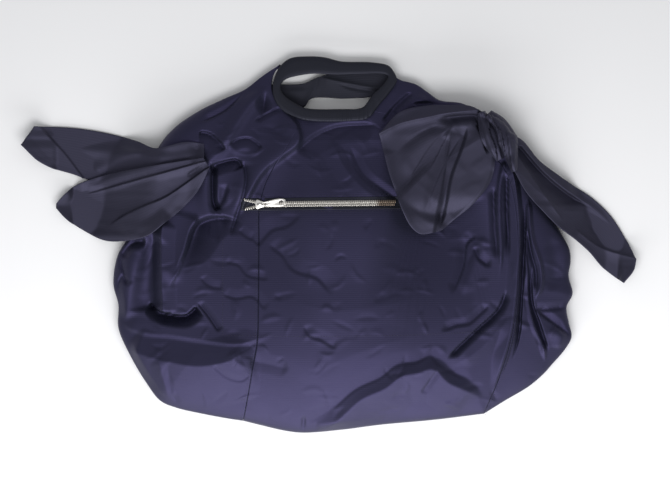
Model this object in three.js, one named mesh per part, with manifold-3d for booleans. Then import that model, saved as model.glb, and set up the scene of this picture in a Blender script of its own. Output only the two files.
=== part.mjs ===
// A balloon bag of thin navy cloth, lying on its back on a table.
//
// The front is three sewn panels that puff up from the back panel and leave a hollow between them. A bound
// neck ring edges the hand hole of the front, and a slumped handle strip crosses behind it. At each side the
// ends of the front and the back are knotted together, and each knot lets two free tails lie on the bag and
// beside it. A short metal zip closes the pocket in the front.
//
// Lengths are millimetres. The tables give places on the layout, which has x to the right and y down the bag,
// and place() turns a place on the layout into the part's own frame, with +Y up the bag and +Z off the table.

import * as THREE from "three";
import { mergeVertices } from "three/addons/utils/BufferGeometryUtils.js";
import Module from "manifold-3d";

const wasm = await Module();
wasm.setup();

// Driving dimensions.

const CLOTH = 1.6; // thickness of one layer as modelled, seam allowances and hems included
const BAND = 2.2; // thickness of the neck ring, which is cloth bound over cloth
const SEAM_GAP = 0.7; // between two panels that are sewn together
const LAYER_GAP = 2.4; // between cloth and the layer that lies over it
const CENTRE = { x: 329, y: 244.5 }; // the middle of the whole bag on the layout, tails included

const NECK_PLANE = { topY: 58, endY: 130, z: 8, slope: 0.15 }; // the front rises from the handle to the chest
const BELLY = { x: 335, y: 325, z: 33, reachX: 165, reachY: 118 }; // the puff in the middle of the front
const EDGE = {
  thinY: 150, // above this place on the layout the bag is thin
  fullY: 330, // below this one it is puffed up fully
  thinZ: 10, // height of the outline there
  fullZ: 15,
  thinReach: 16, // how far in from the outline the edge is round
  fullReach: 44,
};
const NECK_CALM = { from: 8, to: 20 }; // folds die out this near to the middle line of the neck ring
const CURL = { sewn: 11, hem: 2.5, hemDrop: 3.5, fromY: 148, toY: 186 }; // how the outline turns under
const BACK = { inset: 12.6, outset: 2.5, fromY: 116, toY: 144, topY: 92 }; // edge of the back panel

const DRAPE = { reach: 7, slope: 0.6, passes: 24 }; // how closely a tail follows what it lies on

const ZIP = {
  fromX: 247, // left end, where the two rows of teeth are apart
  splitX: 259.5, // they meet inside the slider
  toX: 400,
  y: 204.4,
  width: 5.8,
  row: 2.4,
  parting: 3,
  thickness: 1.4,
  lift: 1.6, // over the cloth, so that the slider's lower plate passes beneath
  step: 6,
};
const SLIDER = { x: 260, length: 9, width: 10, waist: 6.6, plate: 0.9, play: 0.4, post: 1.4, bridge: 2 };
const PULLER = { length: 27, width: 7.4, neck: 4.6, thickness: 1.2, hole: 1.6, bar: 1.1, play: 0.5, turn: 5 };

// The outline of the body on the layout, in three stretches that meet where the seams run out.

const OUTLINE_LEFT = [
  [280, 64], [262, 76], [245, 89], [225, 98], [200, 110], [176, 126], [160, 144], [150, 170], [140, 205],
  [126, 238], [116, 256], [113, 284], [118, 305], [118, 328], [130, 356], [146, 383], [160, 402], [200, 413],
];
const OUTLINE_BOTTOM = [[273, 428], [303, 433], [342, 430], [381, 426], [435, 420]];
const OUTLINE_RIGHT = [
  [392, 72], [399, 78], [420, 88], [440, 101], [462, 104], [480, 112], [500, 122], [515, 140], [528, 165],
  [538, 190], [548, 212], [562, 232], [571, 255], [569, 276], [573, 294], [567, 308], [572, 337], [563, 354],
  [546, 373], [525, 390], [505, 402],
];

// The seams between the panels, from the neck down to the outline.

const SEAM_LEFT = [
  [303, 118.5], [285, 150], [267, 180], [259, 207], [259, 255], [259, 300], [258, 340], [252, 375],
  [243, 421],
];
const SEAM_RIGHT = [
  [371, 111], [405, 118], [450, 130], [484, 148], [504, 168], [514, 200], [518, 250], [516, 320], [507, 362],
  [495, 392], [484, 414],
];

// Where the panels tuck under the neck ring.

const NECK_LEFT = [[273, 76], [272, 90], [279, 103], [290, 112]];
const NECK_FRONT = [[325, 119.5], [347, 119], [362, 116.5]];
const NECK_RIGHT = [[379, 103], [388, 92], [394, 82]];

// The middle line of the neck ring, and of the hand hole's edge on the back panel.

const RING = [
  [277, 85], [283, 72], [296, 67], [311, 65], [331, 66], [361, 68], [382, 69], [390, 74], [390, 83],
  [381, 96],
  [373, 104], [366, 112], [346, 115.5], [325, 116], [304, 115], [288, 104], [279, 95],
];
const RING_HALF = { side: 6, top: 8, topY: 74 };
const BACK_NOTCH = [[400, 97], [384, 108], [365, 114], [335, 116], [305, 115], [285, 108], [264, 103]];
const RING_Z = 3.6; // top of the ring above the cloth that tucks under it

// The main folds of the front. A height above 0 is a ridge and one below 0 a trough. left and right are its
// widths on either hand of somebody who walks along the line on the layout.

const FOLDS = [
  {
    name: "curtain edge", height: 9, left: 4, right: 15,
    line: [
      [284, 112], [297, 134], [297, 143], [280, 158], [262, 171], [249, 192], [242, 208], [236, 224],
      [230, 242],
    ],
  },
  {
    name: "recess under the knot", height: -6, left: 7, right: 7,
    line: [[210, 168], [225, 166], [243, 172]],
  },
  {
    name: "knot pouch", height: -6, left: 7, right: 5,
    line: [[213, 172], [213, 192], [218, 212]],
  },
  {
    name: "shoulder ridge", height: 5, left: 9, right: 7,
    line: [[214, 152], [226, 124], [243, 103], [262, 82]],
  },
  {
    name: "shoulder pocket", height: -5, left: 9, right: 9,
    line: [[268, 94], [264, 108], [262, 124]],
  },
  {
    name: "left pleat", height: 7, left: 9, right: 6,
    line: [[196, 186], [176, 212], [168, 240], [165, 275], [163, 314]],
  },
  {
    name: "left pleat trough", height: -7, left: 7, right: 8,
    line: [[160, 224], [153, 255], [148, 282], [149, 308]],
  },
  {
    name: "outer left ridge", height: 5, left: 9, right: 10,
    line: [[164, 222], [150, 244], [136, 278], [124, 318]],
  },
  {
    name: "shade below the curtain", height: -7, left: 13, right: 12,
    line: [[226, 226], [204, 244], [190, 266], [180, 290]],
  },
  {
    name: "hooked trough", height: -9, left: 11, right: 6,
    line: [[147, 296], [153, 313], [168, 320], [184, 323], [196, 312]],
  },
  {
    name: "left belly trough", height: -8, left: 7, right: 18,
    line: [[119, 322], [150, 334], [184, 340], [220, 345], [262, 342]],
  },
  {
    name: "crease below the zip", height: -4, left: 5, right: 6,
    line: [[260, 242], [272, 229], [290, 221], [300, 212]],
  },
  {
    name: "slanting crease", height: -3, left: 6, right: 8,
    line: [[268, 246], [288, 262], [310, 276], [328, 298]],
  },
  {
    name: "bottom trough", height: -8, left: 8, right: 16,
    line: [[310, 420], [345, 392], [385, 374], [428, 354], [452, 366], [488, 386]],
  },
  {
    name: "pocket corner trough", height: -7, left: 6, right: 6,
    line: [[446, 356], [470, 339], [492, 321], [503, 296], [506, 266]],
  },
  {
    name: "shade below the tail", height: -6, left: 8, right: 9,
    line: [[480, 212], [470, 240], [462, 268], [450, 296]],
  },
  {
    name: "side seam ridge", height: 7, left: 5, right: 8,
    line: [[508, 168], [514, 200], [518, 250], [516, 320], [508, 360], [490, 398]],
  },
  {
    name: "right trough", height: -10, left: 5, right: 5,
    line: [[519, 178], [524, 220], [525, 280], [531, 318], [543, 346], [548, 372]],
  },
  {
    name: "right ridge", height: 5, left: 5, right: 5,
    line: [[530, 205], [538, 240], [541, 275], [539, 304]],
  },
  {
    name: "right side crease", height: -6, left: 5, right: 6,
    line: [[530, 310], [550, 324], [572, 338]],
  },
  {
    name: "right hollow", height: -4, left: 8, right: 7,
    line: [[546, 236], [552, 262], [549, 292]],
  },
];

// The four tails. Each lies between a top and a bottom edge that run from its knot to its end. The end is the
// line that joins their last points, unless the row gives it. A fold is as in the table above.

const TAILS = [
  {
    name: "left_tail_upper",
    columns: 17,
    rows: 6,
    rise: 0,
    top: [[202, 142], [185, 139], [168, 144], [154, 148], [137, 141], [105, 132], [72, 126.5], [36, 126]],
    bottom: [[202, 160], [170, 166], [140, 170], [112, 177], [86, 179.5], [60, 171], [40, 162], [21, 143]],
    folds: [
      { height: 3, left: 5, right: 8, line: [[48, 124], [66, 150], [88, 182]] },
      { height: 4, left: 10, right: 8, line: [[180, 150], [140, 153], [98, 158]] },
    ],
  },
  {
    name: "left_tail_lower",
    columns: 15,
    rows: 7,
    rise: 7,
    top: [[202, 156], [170, 160], [140, 165], [112, 171], [86, 180], [61, 197], [55, 204]],
    bottom: [[212, 168], [190, 200], [165, 222], [147, 236], [125, 241], [98, 239], [66, 218], [55, 208]],
    folds: [
      { height: 4, left: 6, right: 9, line: [[192, 178], [162, 187], [110, 202], [72, 208]] },
      { height: 4, left: 5, right: 8, line: [[192, 196], [168, 214], [140, 228], [104, 236]] },
    ],
  },
  {
    name: "right_tail_far",
    columns: 14,
    rows: 6,
    rise: 0,
    top: [[506, 132], [522, 139], [539, 161], [556, 174], [592, 198], [615, 222], [630, 246], [637, 259]],
    bottom: [[510, 168], [533, 192], [548, 212], [566, 234], [589, 252], [604, 267], [624, 283]],
    folds: [
      { height: 5, left: 8, right: 9, line: [[516, 148], [545, 172], [580, 200], [606, 226]] },
      { height: 2, left: 6, right: 6, line: [[556, 208], [580, 226], [604, 240], [632, 252]] },
    ],
  },
  {
    name: "right_tail_front",
    columns: 11,
    rows: 12,
    rise: 8,
    top: [[488, 118], [460, 105], [425, 107], [395, 115], [379, 134]],
    bottom: [[486, 134], [493, 160], [490, 182], [470, 207], [454, 221], [440, 232]],
    end: [[386, 162], [395, 195], [409, 222], [424, 234]],
    folds: [
      { height: 6, left: 5, right: 7, line: [[379, 133], [400, 126], [440, 117], [472, 110]] },
      { height: 5, left: 12, right: 4, line: [[472, 124], [459, 152], [449, 182], [440, 232]] },
    ],
  },
];

// A knot is a lump of cloth drawn tight: its half sizes, how far it is turned on the layout, how many wraps
// run across it, how much they slant and how far they stand out. It is one piece with the tail round it.

const KNOTS = [
  {
    tail: "left_tail_lower",
    x: 207, y: 154, long: 18, wide: 13, high: 8, turn: 80, wraps: 1.1, skew: 0.5, rib: 0.08,
  },
  {
    tail: "right_tail_front",
    x: 500, y: 139, long: 29, wide: 16, high: 12, turn: 58, wraps: 1.6, skew: -0.4, rib: 0.08,
  },
];

// The slumped handle strip of the back, from the left shoulder to the right one.

const BACK_HANDLE = {
  top: [[264, 84], [284, 84], [303, 83], [322, 75], [345, 71], [375, 70], [400, 80]],
  bottom: [[268, 102], [286, 103], [304, 106], [315, 98], [345, 98], [370, 96], [404, 94]],
  columns: 18,
  rows: 4,
  z: 3.8,
  folds: [
    { height: 2.2, left: 7, right: 7, line: [[325, 72], [318, 84], [312, 100]] },
    { height: 1.6, left: 6, right: 6, line: [[330, 76], [352, 82], [384, 88]] },
  ],
};

// How finely the cloth is divided.

const PANEL_CELLS = { left: 13, front: 25, right: 8, rows: 34, curl: 3 };
const RING_CELLS = { round: 52, across: 4 };
const KNOT_CELLS = { columns: 20, rows: 16 };

const CHORD = 4; // samples of the outline on either hand that give its direction

const clamp = THREE.MathUtils.clamp;
const lerp = THREE.MathUtils.lerp;
const smooth = THREE.MathUtils.smoothstep; // smooth(x, from, to)
const UP = new THREE.Vector3(0, 0, 1);
const DOWN = new THREE.Vector3(0, 0, -1);

// Lines and distances on the layout.

function place(x, y, z) {
  return new THREE.Vector3(x - CENTRE.x, CENTRE.y - y, z);
}

// A smooth line through points of the layout. at(t) gives a point by its share of the line's length.
function lineThrough(points, closed = false) {
  const spots = points.map((point) => new THREE.Vector3(point.x ?? point[0], point.y ?? point[1], 0));
  const curve = new THREE.CatmullRomCurve3(spots, closed);
  return {
    at: (t) => curve.getPointAt(clamp(t, 0, 1)),
    tangent: (t) => curve.getTangentAt(clamp(t, 0, 1)),
    samples: curve.getSpacedPoints(points.length * 8),
  };
}

// The line that runs beside another, on its left hand where the gap is above 0.
function beside(line, gap) {
  return {
    at: (t) => {
      const along = line.tangent(t);
      const { x, y } = line.at(t);
      return { x: x + along.y * gap, y: y - along.x * gap };
    },
  };
}

// The nearest place on a sampled line: how far it is, with the left hand counted above 0, and where on the
// line it is, in samples.
function nearest(samples, x, y) {
  let best = { gap: Infinity };
  for (let i = 0; i + 1 < samples.length; i++) {
    const a = samples[i];
    const step = { x: samples[i + 1].x - a.x, y: samples[i + 1].y - a.y };
    const lengthSquared = step.x ** 2 + step.y ** 2;
    const t = clamp(((x - a.x) * step.x + (y - a.y) * step.y) / lengthSquared, 0, 1);
    const apart = { x: x - a.x - step.x * t, y: y - a.y - step.y * t };
    const gap = Math.hypot(apart.x, apart.y);
    if (gap < best.gap) {
      const hand = apart.x * step.y - apart.y * step.x < 0 ? -1 : 1;
      best = { gap, side: gap * hand, spot: i + t };
    }
  }
  return best;
}

const sampled = (folds) => folds.map((fold) => ({ ...fold, samples: lineThrough(fold.line).samples }));

// The height that folds add at a place. Each one fades out towards both of its ends.
function foldHeight(folds, x, y) {
  let z = 0;
  for (const fold of folds) {
    const { side, spot } = nearest(fold.samples, x, y);
    const along = spot / (fold.samples.length - 1);
    const width = side > 0 ? fold.left : fold.right;
    const fade = smooth(along, 0, 0.22) * (1 - smooth(along, 0.78, 1));
    z += fold.height * fade * Math.exp(-((side / width) ** 2));
  }
  return z;
}

// A patch of the layout between a left and a right line. Its top and bottom edges join their ends by way of
// the given points. u runs from left to right and v from top to bottom.
function patch(left, right, topPoints, bottomPoints) {
  const [topLeft, topRight, bottomLeft, bottomRight] = [left.at(0), right.at(0), left.at(1), right.at(1)];
  const top = lineThrough([topLeft, ...topPoints, topRight]);
  const bottom = lineThrough([bottomLeft, ...bottomPoints, bottomRight]);
  return (u, v) => {
    const [l, r, t, b] = [left.at(v), right.at(v), top.at(u), bottom.at(u)];
    const blend = (key) => {
      const across = lerp(l[key], r[key], u) + lerp(t[key], b[key], v);
      const corners = lerp(lerp(topLeft[key], topRight[key], u), lerp(bottomLeft[key], bottomRight[key], u), v);
      return across - corners;
    };
    return { x: blend("x"), y: blend("y") };
  };
}

// The shape of the front.

const seamLeft = lineThrough(SEAM_LEFT);
const seamRight = lineThrough(SEAM_RIGHT);
const ring = lineThrough(RING, true);
const outlineLeft = lineThrough([...OUTLINE_LEFT, beside(seamLeft, -SEAM_GAP).at(1)]);
const outlineRight = lineThrough([...OUTLINE_RIGHT, beside(seamRight, SEAM_GAP).at(1)]);
const outlineBottom = lineThrough([seamLeft.at(1), ...OUTLINE_BOTTOM, seamRight.at(1)]);
const outline = [...outlineLeft.samples, ...outlineBottom.samples, ...[...outlineRight.samples].reverse()];
const frontFolds = sampled(FOLDS);

function outlineAt(spot) {
  const from = clamp(Math.floor(spot), 0, outline.length - 2);
  return outline[from].clone().lerp(outline[from + 1], clamp(spot - from, 0, 1));
}

// How far a place is inside the outline (below 0 outside it), and the way out of the bag from there, which is
// square to a chord of the outline, so that it turns evenly round corners.
function fromOutline(x, y) {
  const { side, spot } = nearest(outline, x, y);
  const chord = outlineAt(spot + CHORD).sub(outlineAt(spot - CHORD)).normalize();
  return { depth: side, out: { x: -chord.y, y: chord.x } };
}

const fullness = (y) => smooth(y, EDGE.thinY, EDGE.fullY);
const outlineZ = (y) => lerp(EDGE.thinZ, EDGE.fullZ, fullness(y));
const edgeReach = (y) => lerp(EDGE.thinReach, EDGE.fullReach, fullness(y));

// The puffed front away from its edges, before its folds.
function crestZ(x, y) {
  const neck = NECK_PLANE.z + NECK_PLANE.slope * (Math.min(y, NECK_PLANE.endY) - NECK_PLANE.topY);
  const spread = ((x - BELLY.x) / BELLY.reachX) ** 2 + ((y - BELLY.y) / BELLY.reachY) ** 2;
  return neck + BELLY.z * Math.exp(-spread);
}

// A point of the front's outer face, and the way into the bag from it. The cloth stands upright on the
// outline and leans over towards the crest, and its folds die out at the outline and at the neck.
function frontPoint(x, y) {
  const { depth, out } = fromOutline(x, y);
  const lean = 1 - clamp(depth / edgeReach(y), 0, 1);
  const rise = Math.sqrt(1 - lean ** 2);
  const calmEdge = smooth(depth, 0, 0.6 * edgeReach(y));
  const calmNeck = smooth(nearest(ring.samples, x, y).gap, NECK_CALM.from, NECK_CALM.to);
  const z = lerp(outlineZ(y), crestZ(x, y), rise) + foldHeight(frontFolds, x, y) * calmEdge * calmNeck;
  return { outer: place(x, y, z), inward: new THREE.Vector3(-out.x * lean, out.y * lean, -rise).normalize() };
}

// The stretch where the outline turns under: sewn to the back panel low down, and a free hem at the mouth.
function curlPoint(x, y, turned) {
  const { out } = fromOutline(x, y);
  const angle = (turned * Math.PI) / 2;
  const sewn = smooth(y, CURL.fromY, CURL.toY);
  const back = lerp(CURL.hem, CURL.sewn, sewn) * (1 - Math.cos(angle));
  const drop = lerp(CURL.hemDrop, outlineZ(y), sewn) * Math.sin(angle);
  const inward = new THREE.Vector3(-out.x * Math.cos(angle), out.y * Math.cos(angle), Math.sin(angle));
  return { outer: place(x - out.x * back, y - out.y * back, outlineZ(y) - drop), inward: inward.normalize() };
}

// Solids.

const navy = { color: 0x2b2a40, roughness: 0.62, metalness: 0 };
const bandNavy = { color: 0x252536, roughness: 0.66, metalness: 0 };
const nickel = { color: 0xc9c7c4, roughness: 0.3, metalness: 1 };

const bag = new THREE.Group();

function addPiece(name, geometry, look) {
  const piece = new THREE.Mesh(geometry, new THREE.MeshStandardMaterial(look));
  piece.name = name;
  bag.add(piece);
  return piece;
}

// A closed mesh from points and triangles, with its faces turned outwards.
function closedGeometry(points, triangles) {
  const normal = new THREE.Vector3();
  let volume = 0;
  for (const [a, b, c] of triangles) {
    volume += points[a].dot(normal.crossVectors(points[b], points[c]));
  }
  const facingOut = volume < 0 ? triangles.map(([a, b, c]) => [a, c, b]) : triangles;
  const geometry = new THREE.BufferGeometry().setFromPoints(points);
  geometry.setIndex(facingOut.flat());
  return geometry;
}

// A sheet of cloth as a closed solid. pointAt(i, j) gives an outer point and its way in, and the inner face
// lies one thickness further in. A looped sheet joins its last column to its first.
function sheetGeometry({ columns, rows, pointAt, thickness, looped = false }) {
  const width = looped ? columns : columns + 1;
  const outer = [];
  const inner = [];
  for (let j = 0; j <= rows; j++) {
    for (let i = 0; i < width; i++) {
      const point = pointAt(i, j);
      outer.push(point.outer);
      inner.push(point.outer.clone().addScaledVector(point.inward, thickness));
    }
  }
  const under = outer.length;
  const at = (i, j) => j * width + (i % width);
  const triangles = [];
  const quad = (a, b, c, d) => triangles.push([a, b, c], [a, c, d]);
  const edge = (a, b) => quad(b, a, under + a, under + b);
  for (let j = 0; j < rows; j++) {
    for (let i = 0; i < columns; i++) {
      quad(at(i, j), at(i, j + 1), at(i + 1, j + 1), at(i + 1, j));
      quad(under + at(i, j), under + at(i + 1, j), under + at(i + 1, j + 1), under + at(i, j + 1));
    }
  }
  for (let i = 0; i < columns; i++) {
    edge(at(i + 1, 0), at(i, 0));
    edge(at(i, rows), at(i + 1, rows));
  }
  for (let j = 0; j < rows && !looped; j++) {
    edge(at(0, j), at(0, j + 1));
    edge(at(columns, j + 1), at(columns, j));
  }
  return closedGeometry([...outer, ...inner], triangles);
}

// Joins and cuts.

function solidOf(geometry) {
  const bare = geometry.clone();
  bare.deleteAttribute("normal");
  bare.deleteAttribute("uv");
  const merged = mergeVertices(bare, 1e-4);
  const vertProperties = new Float32Array(merged.attributes.position.array);
  const triVerts = new Uint32Array(merged.index.array);
  return new wasm.Manifold(new wasm.Mesh({ numProp: 3, vertProperties, triVerts }));
}

function geometryOf(solid) {
  const { vertProperties, triVerts } = solid.getMesh();
  const geometry = new THREE.BufferGeometry();
  geometry.setAttribute("position", new THREE.BufferAttribute(new Float32Array(vertProperties), 3));
  geometry.setIndex(new THREE.BufferAttribute(new Uint32Array(triVerts), 1));
  return geometry;
}

function joined(geometries) {
  return geometryOf(geometries.map(solidOf).reduce((whole, part) => whole.add(part)));
}

// What a later piece rests on.

const rayDown = new THREE.Raycaster();
const laid = [];

// The highest face within a reach of a place of the layout, or 0 where only the table is there.
function restingZ(x, y, reach) {
  const turns = reach > 0 ? 8 : 0;
  let z = 0;
  for (let k = 0; k <= turns; k++) {
    const radius = k === 0 ? 0 : reach;
    const angle = (k * Math.PI) / 4;
    rayDown.set(place(x + radius * Math.cos(angle), y + radius * Math.sin(angle), 200), DOWN);
    const hits = rayDown.intersectObjects(laid, false);
    z = Math.max(z, hits.length > 0 ? hits[0].point.z : 0);
  }
  return z;
}

// Front panels. Cells get smaller towards the outline, where the cloth turns fastest. The rows of all panels
// end at the same places of a seam, so that the panels meet evenly.

function addFrontPanel(name, patchAt, cells, turnedSide) {
  const { rows, curl } = PANEL_CELLS;
  const before = turnedSide === "left" ? curl : 0;
  const below = turnedSide === "bottom" ? curl : 0;
  const after = turnedSide === "right" ? curl : 0;
  const crowd = { left: (u) => u ** 1.4, right: (u) => 1 - (1 - u) ** 1.4, bottom: (u) => u }[turnedSide];
  const pointAt = (i, j) => {
    const u = crowd(clamp((i - before) / cells, 0, 1));
    const v = 1 - (1 - Math.min(1, j / rows)) ** 1.25;
    const { x, y } = patchAt(u, v);
    const past = { left: before - i, right: i - cells, bottom: j - rows }[turnedSide];
    return past > 0 ? curlPoint(x, y, past / curl) : frontPoint(x, y);
  };
  const columns = before + cells + after;
  const geometry = sheetGeometry({ columns, rows: rows + below, pointAt, thickness: CLOTH });
  laid.push(addPiece(name, geometry, navy));
}

const half = SEAM_GAP / 2;
const leftAt = patch(outlineLeft, beside(seamLeft, -half), NECK_LEFT, []);
const frontAt = patch(beside(seamLeft, half), beside(seamRight, -half), NECK_FRONT, OUTLINE_BOTTOM);
const rightAt = patch(beside(seamRight, half), outlineRight, NECK_RIGHT, []);
addFrontPanel("left_panel", leftAt, PANEL_CELLS.left, "left");
addFrontPanel("front_panel", frontAt, PANEL_CELLS.front, "bottom");
addFrontPanel("right_panel", rightAt, PANEL_CELLS.right, "right");

// The back panel lies flat. Its edge is inside the turned-under front, and outside it at the open mouth.

function addBackPanel() {
  const edgeSpots = outline.filter((spot, i) => i % 5 === 0);
  const spots = edgeSpots.map(({ x, y }) => {
    const { out } = fromOutline(x, y);
    const further = lerp(BACK.outset, -BACK.inset, smooth(y, BACK.fromY, BACK.toY));
    return place(x + out.x * further, y + out.y * further, 0);
  });
  const bodySpots = spots.filter((spot) => spot.y < CENTRE.y - BACK.topY);
  const notch = lineThrough(BACK_NOTCH).samples.filter((spot, i) => i % 3 === 0);
  const shape = new THREE.Shape([...bodySpots, ...notch.map(({ x, y }) => place(x, y, 0))]);
  addPiece("back_panel", new THREE.ExtrudeGeometry(shape, { depth: CLOTH, bevelEnabled: false }), navy);
}

addBackPanel();

// The neck ring round the front's hand hole, over the cloth that tucks under it.

function addNeckRing() {
  const { round, across } = RING_CELLS;
  const pointAt = (i, j) => {
    const middle = ring.at(i / round);
    const along = ring.tangent(i / round);
    const halfWidth = middle.y < RING_HALF.topY ? RING_HALF.top : RING_HALF.side;
    const share = (2 * j) / across - 1;
    const crown = 0.8 * (1 - share ** 2);
    const x = middle.x + along.y * halfWidth * share;
    const y = middle.y - along.x * halfWidth * share;
    return { outer: place(x, y, crestZ(x, y) + RING_Z + crown), inward: DOWN };
  };
  const geometry = sheetGeometry({ columns: round, rows: across, pointAt, thickness: BAND, looped: true });
  laid.push(addPiece("neck_ring", geometry, bandNavy));
}

addNeckRing();

// A strip of cloth between a top and a bottom edge, with u from its root to its end.
function stripPatch({ top, bottom, end = [] }) {
  const root = lineThrough([top[0], bottom[0]]);
  const tip = lineThrough([top.at(-1), ...end, bottom.at(-1)]);
  return patch(root, tip, top.slice(1, -1), bottom.slice(1, -1));
}

// The handle strip of the back, which lies nearly flat.

function addBackHandle() {
  const at = stripPatch(BACK_HANDLE);
  const folds = sampled(BACK_HANDLE.folds);
  const { columns, rows } = BACK_HANDLE;
  const pointAt = (i, j) => {
    const { x, y } = at(i / columns, j / rows);
    return { outer: place(x, y, BACK_HANDLE.z + foldHeight(folds, x, y)), inward: DOWN };
  };
  addPiece("back_handle", sheetGeometry({ columns, rows, pointAt, thickness: CLOTH }), bandNavy);
}

addBackHandle();

// Cloth that lies over other pieces falls from them to the table no steeper than the drape's slope.
function settle(spots) {
  const neighbours = [[1, 0], [-1, 0], [0, 1], [0, -1]];
  for (let pass = 0; pass < DRAPE.passes; pass++) {
    for (let j = 0; j < spots.length; j++) {
      for (let i = 0; i < spots[j].length; i++) {
        const spot = spots[j][i];
        for (const [di, dj] of neighbours) {
          const other = spots[j + dj]?.[i + di];
          const fall = other ? DRAPE.slope * Math.hypot(other.x - spot.x, other.y - spot.y) : 0;
          spot.z = Math.max(spot.z, other ? other.z - fall : 0);
        }
      }
    }
  }
}

// A tail: each place rests on what is beneath it, and the root rises to its knot.
function tailGeometry(row) {
  const at = stripPatch(row);
  const folds = sampled(row.folds);
  const { columns, rows } = row;
  const spots = [];
  for (let j = 0; j <= rows; j++) {
    spots.push([]);
    for (let i = 0; i <= columns; i++) {
      const { x, y } = at(i / columns, j / rows);
      const beneath = restingZ(x, y, DRAPE.reach);
      spots[j].push({ x, y, z: beneath > 0 ? beneath + LAYER_GAP : 0 });
    }
  }
  settle(spots);
  const pointAt = (i, j) => {
    const { x, y, z } = spots[j][i];
    const rise = row.rise * (1 - smooth(i / columns, 0, 0.25));
    return { outer: place(x, y, z + CLOTH + rise + foldHeight(folds, x, y)), inward: DOWN };
  };
  return sheetGeometry({ columns, rows, pointAt, thickness: CLOTH });
}

// A knot, resting on what is beneath it, with ribs where the cloth wraps across it.
function knotGeometry({ x, y, long, wide, high, turn, wraps, skew, rib }) {
  const { columns, rows } = KNOT_CELLS;
  const z = Math.max(restingZ(x, y, wide / 2), restingZ(x, y, wide)) + LAYER_GAP + high * (1 + rib);
  const angle = THREE.MathUtils.degToRad(turn);
  const lengthways = new THREE.Vector3(Math.cos(angle), -Math.sin(angle), 0);
  const sideways = new THREE.Vector3(-Math.sin(angle), -Math.cos(angle), 0);
  const geometry = new THREE.SphereGeometry(1, columns, rows);
  const spots = geometry.attributes.position;
  for (let i = 0; i < spots.count; i++) {
    const unit = new THREE.Vector3().fromBufferAttribute(spots, i);
    const swell = 1 + rib * Math.cos(2 * Math.PI * wraps * (unit.y + skew * unit.x));
    const spot = place(x, y, z);
    spot.addScaledVector(lengthways, long * unit.y * swell);
    spot.addScaledVector(sideways, wide * unit.x * swell);
    spot.addScaledVector(UP, high * unit.z * swell);
    spots.setXYZ(i, spot.x, spot.y, spot.z);
  }
  return geometry;
}

function addTail(row) {
  const knot = KNOTS.find(({ tail }) => tail === row.name);
  const tail = tailGeometry(row);
  laid.push(addPiece(row.name, knot ? joined([tail, knotGeometry(knot)]) : tail, navy));
}

// The zip of the pocket. Its chain is closed to the right of the slider, and the two rows part to its left.

// The height that the zip rests on. It is level along the slider.
function zipRestZ(x) {
  const middleX = Math.abs(x - SLIDER.x) < SLIDER.length ? SLIDER.x : x;
  return Math.max(...[-6, -3, 0, 3, 6].map((step) => restingZ(middleX + step, ZIP.y, ZIP.width / 2)));
}

function zipRow({ fromX, toX, width, middleAt }) {
  const columns = Math.ceil((toX - fromX) / ZIP.step);
  const pointAt = (i, j) => {
    const x = lerp(fromX, toX, i / columns);
    return { outer: place(x, middleAt(x) + (j - 0.5) * width, zipTop(x)), inward: DOWN };
  };
  return sheetGeometry({ columns, rows: 1, pointAt, thickness: ZIP.thickness });
}

const zipTop = (x) => zipRestZ(x) + ZIP.lift + ZIP.thickness;

function addZipChain() {
  const { fromX, splitX, toX, width, row, parting } = ZIP;
  const partingAt = (x) => (width - row) / 2 + (parting * (splitX - x)) / (splitX - fromX);
  const closedRows = zipRow({ fromX: splitX - SLIDER.play, toX, width, middleAt: () => ZIP.y });
  const openRows = [-1, 1].map((side) =>
    zipRow({ fromX, toX: splitX, width: row, middleAt: (x) => ZIP.y + side * partingAt(x) }),
  );
  laid.push(addPiece("zip_chain", joined([closedRows, ...openRows]), nickel));
}

const sliderZ = zipRestZ(SLIDER.x) + ZIP.lift; // underside of the chain inside the slider
const sliderTopZ = sliderZ + ZIP.thickness + SLIDER.play + SLIDER.plate;
const pullerZ = pullerRestZ();

// The puller lies level, over the highest place that it crosses.
function pullerRestZ() {
  let z = sliderTopZ;
  for (let x = SLIDER.x; x <= SLIDER.x + PULLER.length; x += ZIP.step / 2) {
    z = Math.max(z, zipTop(x));
  }
  return z + PULLER.play;
}

// A flat piece drawn on the layout's plane round (0, 0), with its underside at a height over the slider.
function platePiece(shape, depth, z) {
  const geometry = new THREE.ExtrudeGeometry(shape, { depth, bevelEnabled: false, curveSegments: 8 });
  const middle = place(SLIDER.x, ZIP.y, z);
  return geometry.translate(middle.x, middle.y, middle.z);
}

function shapeThrough(points) {
  return new THREE.Shape(points.map(([x, y]) => new THREE.Vector2(x, y)));
}

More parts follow.
